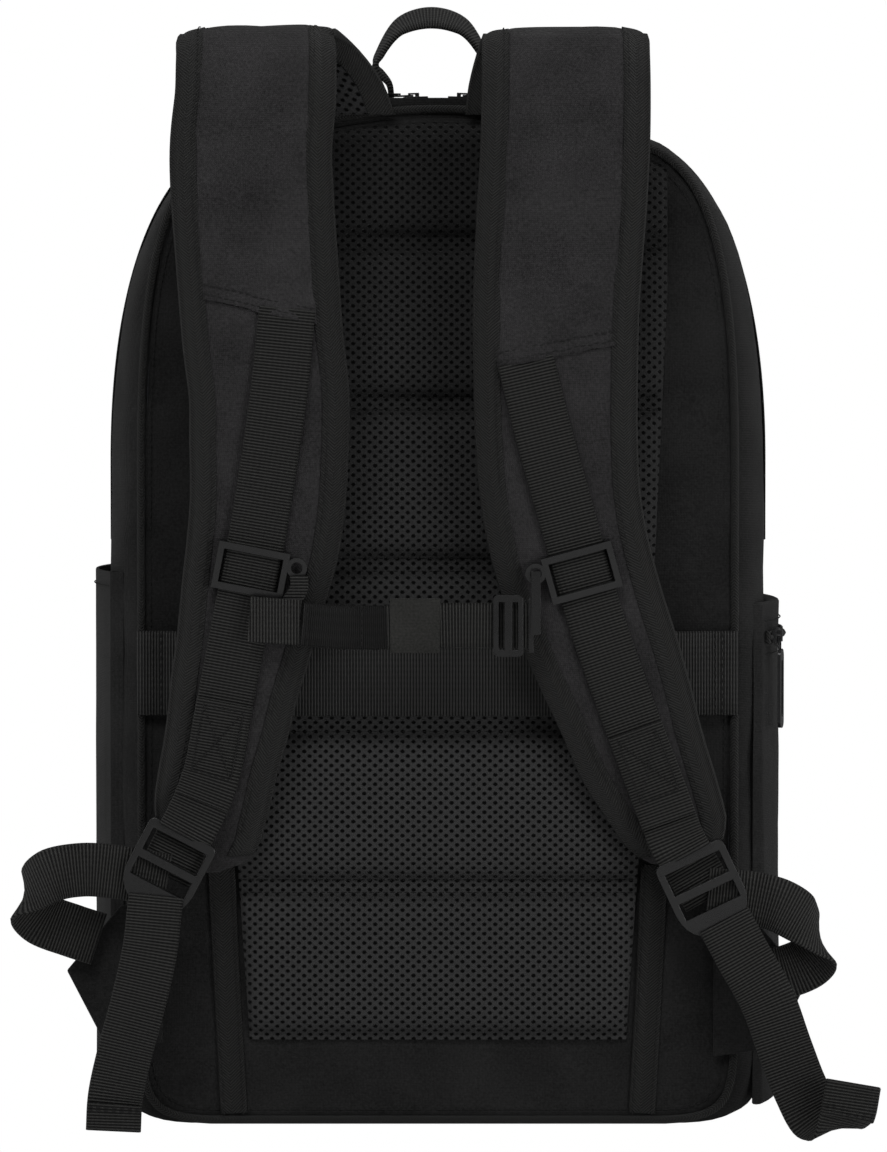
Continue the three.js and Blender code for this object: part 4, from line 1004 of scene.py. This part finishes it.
# %% [markdown]
# ## Ladder locks, adjusting loops and tails
# The webbing of the lower strap starts at a wing tab on the side seam, runs up through the
# ladder lock, folds back and hangs as a tail with a folded hem. The loop belongs to the bag
# at its low end and to the strap at the lock, so it bends between the two.

# %% Lower straps
LOCK_Y = -114
LOOP_Y = LOCK_Y + 3.6
LOOPS = {
    "left": ([(-120, 0, 114), (-131, 0, 116), (-143, 0.3, 118), (-158, 0, 119), (-173, 0.5, 116), (-184, 8, 106),
              (-178, 16, 96), (-164, 19, 90), (-152, 20, 86)], (0.25, 0, 1)),
    "right": ([(120, 0, 108), (132, 0, 107), (141, 0.3, 106), (152, 0, 103), (164, 3, 95), (171, 11, 84),
               (166, 18, 76), (158, 20, 72), (150, 20.5, 70)], (-0.35, 0, 1)),
}
TAILS = {
    "left": ([(-125, -3.5, 108), (-127.6, -6, 84), (-133, -5, 60), (-139, -2, 38), (-143.4, 1, 18),
              (-144.4, 3, 3)], (1, 0, 0.25)),
    "right": ([(127, -3.5, 97), (135, -6, 82), (146, -6, 62), (154, -4, 40), (161, -3, 22), (168, -6, 9),
               (175, -14, 6), (180, -20, 12), (183, -22, 27)], (1, 0, 0.25)),
}
THREADED = {"left": ((-106, 148), (-121.5, 116)), "right": ((103, 137), (121, 106))}
for name in ("left", "right"):
    softened(f"ladder_lock_{name}", PLASTIC, 1.1, 4)
    (x0, z0), (x1, z1) = THREADED[name]
    bow = [(x0, -107.6, z0), ((x0 + x1) / 2, -108.7, (z0 + z1) / 2), (x1, -108.0, z1)]
    threaded = webbing(f"threaded_webbing_{name}", smooth_path(bow, 24), 24.5)
    finished(threaded, f"strap_{name}", "webbing")
    points, across = LOOPS[name]
    loop_path = smooth_path([(x, LOOP_Y + y, z) for x, y, z in points], 64)
    loop = webbing(f"adjust_webbing_{name}_ribbed", loop_path, 24, WEBBING, across)
    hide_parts(f"adjust_webbing_{name}")
    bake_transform(loop, "bag", f"strap_{name}", start=tuple(loop_path[-6] * MM), end=tuple(loop_path[8] * MM))
    tail_points, tail_across = TAILS[name]
    tail_path = smooth_path([(x, LOCK_Y + y, z) for x, y, z in tail_points], 72)
    tail = webbing(f"tail_{name}_ribbed", tail_path, 24.5, WEBBING, tail_across)
    finished(tail, f"lock_{name}", "webbing", f"tail_{name}")
    _, wide, thick = frames(tail_path, tail_across)
    hem_rows = range(len(tail_path) - 9, len(tail_path))
    outward = -np.sign(thick[-5][1]) or 1
    hem_path = np.array([tail_path[i] + outward * thick[i] * 1.75 for i in hem_rows])
    hem = webbing(f"tail_hem_{name}", hem_path, 24.5, WEBBING, tail_across)
    finished(hem, f"lock_{name}", "webbing")
    row = len(tail_path) - 8
    for step in (0, 1):
        seam(f"lock_{name}", [tail_path[row + step] + outward * thick[row] * 2.75 + a * wide[row]
                              for a in np.linspace(-10.5, 10.5, 10)])
    tab = softened(f"wing_tab_{name}", BODY, 0.8, 2)
print("lower straps", len(seams["lock_left"]), "hem seams")

# %% [markdown]
# ## Sternum strap
# Two loop sliders hug the shoulder straps' edges. A webbing hangs between them: a folded end,
# a smooth elastic length, a keeper, an adjuster and a hook.

# %% Sternum strap
for node in ("chest_slider_left", "chest_slider_right", "chest_adjuster", "chest_hook"):
    softened(node, PLASTIC, 0.85, 4)
CHEST_Y = -131.483
chest_path = smooth_path([(-59.4, CHEST_Y, 229.2), (-44, CHEST_Y - 0.6, 228), (-28, CHEST_Y, 227.6),
                          (-8, CHEST_Y - 0.4, 228.2), (8, CHEST_Y, 228.6), (25, CHEST_Y, 228.5)], 60)
elastic = webbing("chest_elastic", chest_path[:27], 19.5, ELASTIC, (0, 0, 1), 1.9)
finished(elastic, "chest_strap", "webbing", "chest_webbing")
ribbed = webbing("chest_ribbed_webbing", chest_path[26:], 20, WEBBING, (0, 0, 1), 1.8)
finished(ribbed, "chest_strap", "webbing")
softened("elastic_keeper", KEEPER, 0.6, 3)
softened("eyelet_loop", WEBBING, 0.5, 3, uv=(0, 2))
softened("chest_end_fold", WEBBING, 0.45, 2, uv=(2, 0))
softened("hook_webbing", WEBBING, 0.4, 2, uv=(2, 0))
for x in (-57.5, -33.5):
    seam("chest_strap", [(x, CHEST_Y - 1.3, z) for z in np.linspace(220.5, 236.5, 9)])

# %% [markdown]
# ## Grab handle
# The handle is one length of webbing bent into an arch, with its feet sewn to the yoke.

# %% Grab handle
HANDLE_X, HANDLE_Y, HANDLE_BASE = -3, -58, 464
handle_points = [(-18, 0), (-19, 6), (-25, 14), (-23, 20), (-14, 32), (0, 36), (14, 32), (23, 20), (25, 14), (19, 6),
                 (18, 0)]
handle_path = smooth_path([(HANDLE_X + x, HANDLE_Y, HANDLE_BASE + z) for x, z in handle_points], 90)
lean = np.sin(np.linspace(0, math.pi, 90))
handle_rings = []
for i, point in enumerate(handle_path):
    tangent = unit(handle_path[min(i + 1, 89)] - handle_path[max(i - 1, 0)])
    wide = np.array([0, 1, 0.42 * lean[i]])
    wide = unit(wide - (wide @ tangent) * tangent)
    foot = math.sqrt(max(0.02, 1 - max(0, 1 - (point[2] - HANDLE_BASE) / 12.5) ** 2))
    section = np.array(strip_section(25, 2.6, 7)) * (foot, 1)
    handle_rings.append(point + section[:, :1] * wide + section[:, 1:] * np.cross(tangent, wide))
handle = rings_piece("grab_handle", handle_rings, WEBBING)
finished(handle, "handle", "webbing", "carry_handle")
softened("handle_anchor", BODY, 0.8, 2)

# %% [markdown]
# ## Pockets
# The side pockets are cloth, so they keep the walls that were built and gain soft folds. The
# front pocket has a rolled edge.

# %% Pockets
def rumpled(node, material, amount, size, bevel=0.9, seed=0.0, cut=7.0):
    """A softened copy, cut finely and moved by slow folds."""
    piece = softened(node, material, bevel, 2)
    work = bmesh.new()
    work.from_mesh(piece.data)
    for _ in range(6):
        long_edges = [e for e in work.edges if e.calc_length() > cut * MM]
        if not long_edges:
            break
        bmesh.ops.subdivide_edges(work, edges=long_edges, cuts=1)
        bmesh.ops.triangulate(work, faces=[f for f in work.faces if len(f.verts) > 4])
    work.normal_update()
    for v in work.verts:
        p = v.co / MM
        fold = noise.fractal(Vector((p.x / size, p.y / size, p.z / (size * 2.2) + seed)), 0.9, 2.1, 3)
        v.co += Vector((v.normal.x, v.normal.y, 0)) * fold * amount * MM
    work.to_mesh(piece.data)
    work.free()
    return piece


rumpled("bottle_pocket", BODY, 0.25, 40, 0.5, 1.0)
rumpled("zip_pocket", BODY, 0.9, 34, 1.2, 5.0)
rumpled("front_pocket", BODY, 1.2, 60, 2.5, 9.0)
for side, rise, reach in ((-1, (243.5,), 223.0), (1, (212.5, 227.5), 222.4)):
    turn = np.radians(np.linspace(-17, 11.5, 60))
    for z in rise:
        seam("bag", np.column_stack([side * (reach * np.cos(turn) - 64), 5 + reach * np.sin(turn), np.full(60, z)]))
for x in (-106, 106):
    seam("bag", [(x, 100.9, z) for z in np.linspace(44, 208, 50)])
rumpled("laptop_sleeve", LINING, 0.4, 50, 1.0, 3.0)
softened("sleeve_strap", WEBBING, 0.4, uv=(0, 2))
softened("back_board", BOARD, 0.5)
softened("base_board", BOARD, 0.5)

# %% [markdown]
# ## Zips
# Each chain is a flat tape with a coil of small teeth. The pockets' tapes are the
# built solids, and the main zip's are flush strips; the teeth
# are laid along its middle by Geometry Nodes, like the stitches but closer and rounder.

# %% Zips
for body, node, y in (("bag", "main_zip_rear", -33.0), ("front_flap", "main_zip_front", -27.0)):
    run = outline(SPLIT_Y, -0.45, 60)
    run = run[run[:, 2] > 259.5]
    run[:, 1] = y
    tape = webbing(node + "_tape", even(run, 150), 5.2, TWILL, (0, 1, 0), 0.7)
    finished(tape, body, "zip_tape", node)
for node in ("side_zip_chain", "front_zip_chain"):
    softened(node, TWILL, 0.2, 1, uv=(2, 0))
METAL_NODES = ["main_slider_left", "main_slider_right", "main_pull_left", "main_pull_right",
               "side_slider", "side_pull", "front_slider", "front_pull"]
for node in METAL_NODES:
    softened(node, ENAMEL, 0.3, 3)


def teeth(name, path, body, pitch=1.6, size=1.3):
    """A row of coil turns along a path, on one body."""
    curve = bpy.data.curves.new(name, "CURVE")
    curve.dimensions = "3D"
    spline = curve.splines.new("POLY")
    spline.points.add(len(path) - 1)
    spline.points.foreach_set("co", np.hstack([np.asarray(path) * MM, np.ones((len(path), 1))]).ravel())
    holder = bpy.data.objects.new(name, curve)
    bpy.context.scene.collection.objects.link(holder)
    run = holder.modifiers.new("coil", "NODES")
    run.node_group = STITCHES
    sizes = {"Pitch": pitch, "Length": pitch * 0.36, "Radius": size}
    for item in STITCHES.interface.items_tree:
        if item.name in sizes:
            run[item.identifier] = sizes[item.name] * MM
        if item.name == "Thread":
            run[item.identifier] = COIL
    mesh = bpy.data.meshes.new_from_object(holder.evaluated_get(bpy.context.evaluated_depsgraph_get()))
    bpy.data.objects.remove(holder)
    piece = bpy.data.objects.new(name, mesh)
    bpy.context.scene.collection.objects.link(piece)
    return finished(piece, body, "zip_tape")


for body, y in (("bag", -31.0), ("front_flap", -29.0)):
    arch = outline(SPLIT_Y, -0.3, 60)
    arch = arch[arch[:, 2] > 262]
    arch = arch[np.argsort(np.arctan2(arch[:, 0], arch[:, 2] - 200))]
    arch[:, 1] = y
    teeth(f"zip_coil_{body}", arch, body, 1.3, 0.8)
teeth("front_zip_coil", [(x, 102.6, 188) for x in np.linspace(-83, 83, 60)], "bag")
turn = np.radians(np.linspace(-16.5, 11.5, 40))
teeth("side_zip_coil", np.column_stack([-64 + 223.9 * np.cos(turn), 5 + 223.9 * np.sin(turn), np.full(40, 220)]), "bag")

# %% Stitching on every body
for body in sorted(seams):
    sew(body, "webbing" if body == "chest_strap" else "strap_fabric")

# %% [markdown]
# ## Stage and light
# The bag stands on a white sweep. A large soft light stands in front and above, two strips
# stand at the sides for the buckles' edges, and the background is pure white to the camera.

# %% Stage
stage_paint = bpy.data.materials.new("stage_white")
stage_paint.use_nodes = True
nodes, links = stage_paint.node_tree.nodes, stage_paint.node_tree.links
ray = nodes.new("ShaderNodeLightPath")
glow = nodes.new("ShaderNodeEmission")
glow.inputs["Color"].default_value, glow.inputs["Strength"].default_value = (1, 1, 1, 1), 1.0
matt = nodes["Principled BSDF"]
matt.inputs["Base Color"].default_value, matt.inputs["Roughness"].default_value = (0.8, 0.8, 0.8, 1), 0.9
mix = nodes.new("ShaderNodeMixShader")
links.new(ray.outputs["Is Camera Ray"], mix.inputs[0])
links.new(matt.outputs[0], mix.inputs[1])
links.new(glow.outputs[0], mix.inputs[2])
links.new(mix.outputs[0], nodes["Material Output"].inputs["Surface"])
floor = link("floor", [(-4000, -4000, -0.4), (4000, -4000, -0.4), (4000, 4000, -0.4), (-4000, 4000, -0.4)],
             [(0, 1, 2, 3)], stage_paint)

world = bpy.data.worlds.new("soft_room")
bpy.context.scene.world = world
world.use_nodes = True
background = world.node_tree.nodes["Background"]
ray = world.node_tree.nodes.new("ShaderNodeLightPath")
sky = world.node_tree.nodes.new("ShaderNodeMix")
sky.data_type = "RGBA"
sky.inputs[6].default_value, sky.inputs[7].default_value = (0.13, 0.13, 0.13, 1), (1, 1, 1, 1)
world.node_tree.links.new(ray.outputs["Is Camera Ray"], sky.inputs[0])
world.node_tree.links.new(sky.outputs[2], background.inputs["Color"])


def soft_light(name, place, target, size, power):
    data = bpy.data.lights.new(name, "AREA")
    data.shape, data.size, data.size_y, data.energy = "RECTANGLE", size[0], size[1], power
    lamp = bpy.data.objects.new(name, data)
    bpy.context.scene.collection.objects.link(lamp)
    lamp.location = place
    lamp.rotation_euler = (Vector(target) - Vector(place)).to_track_quat("-Z", "Y").to_euler()
    return lamp


soft_light("key", (-0.5, -2.2, 1.9), (0, 0, 0.25), (1.2, 0.9), 20)
soft_light("low_fill", (1.2, -2.0, 0.25), (0, 0, 0.15), (0.9, 0.6), 11)
soft_light("rim_left", (-1.7, -0.2, 0.9), (0, 0, 0.25), (0.4, 1.6), 5)
soft_light("rim_right", (1.7, -0.2, 0.9), (0, 0, 0.25), (0.4, 1.6), 5)
soft_light("top", (0, 0.3, 2.2), (0, 0, 0.3), (1.2, 1.2), 8)
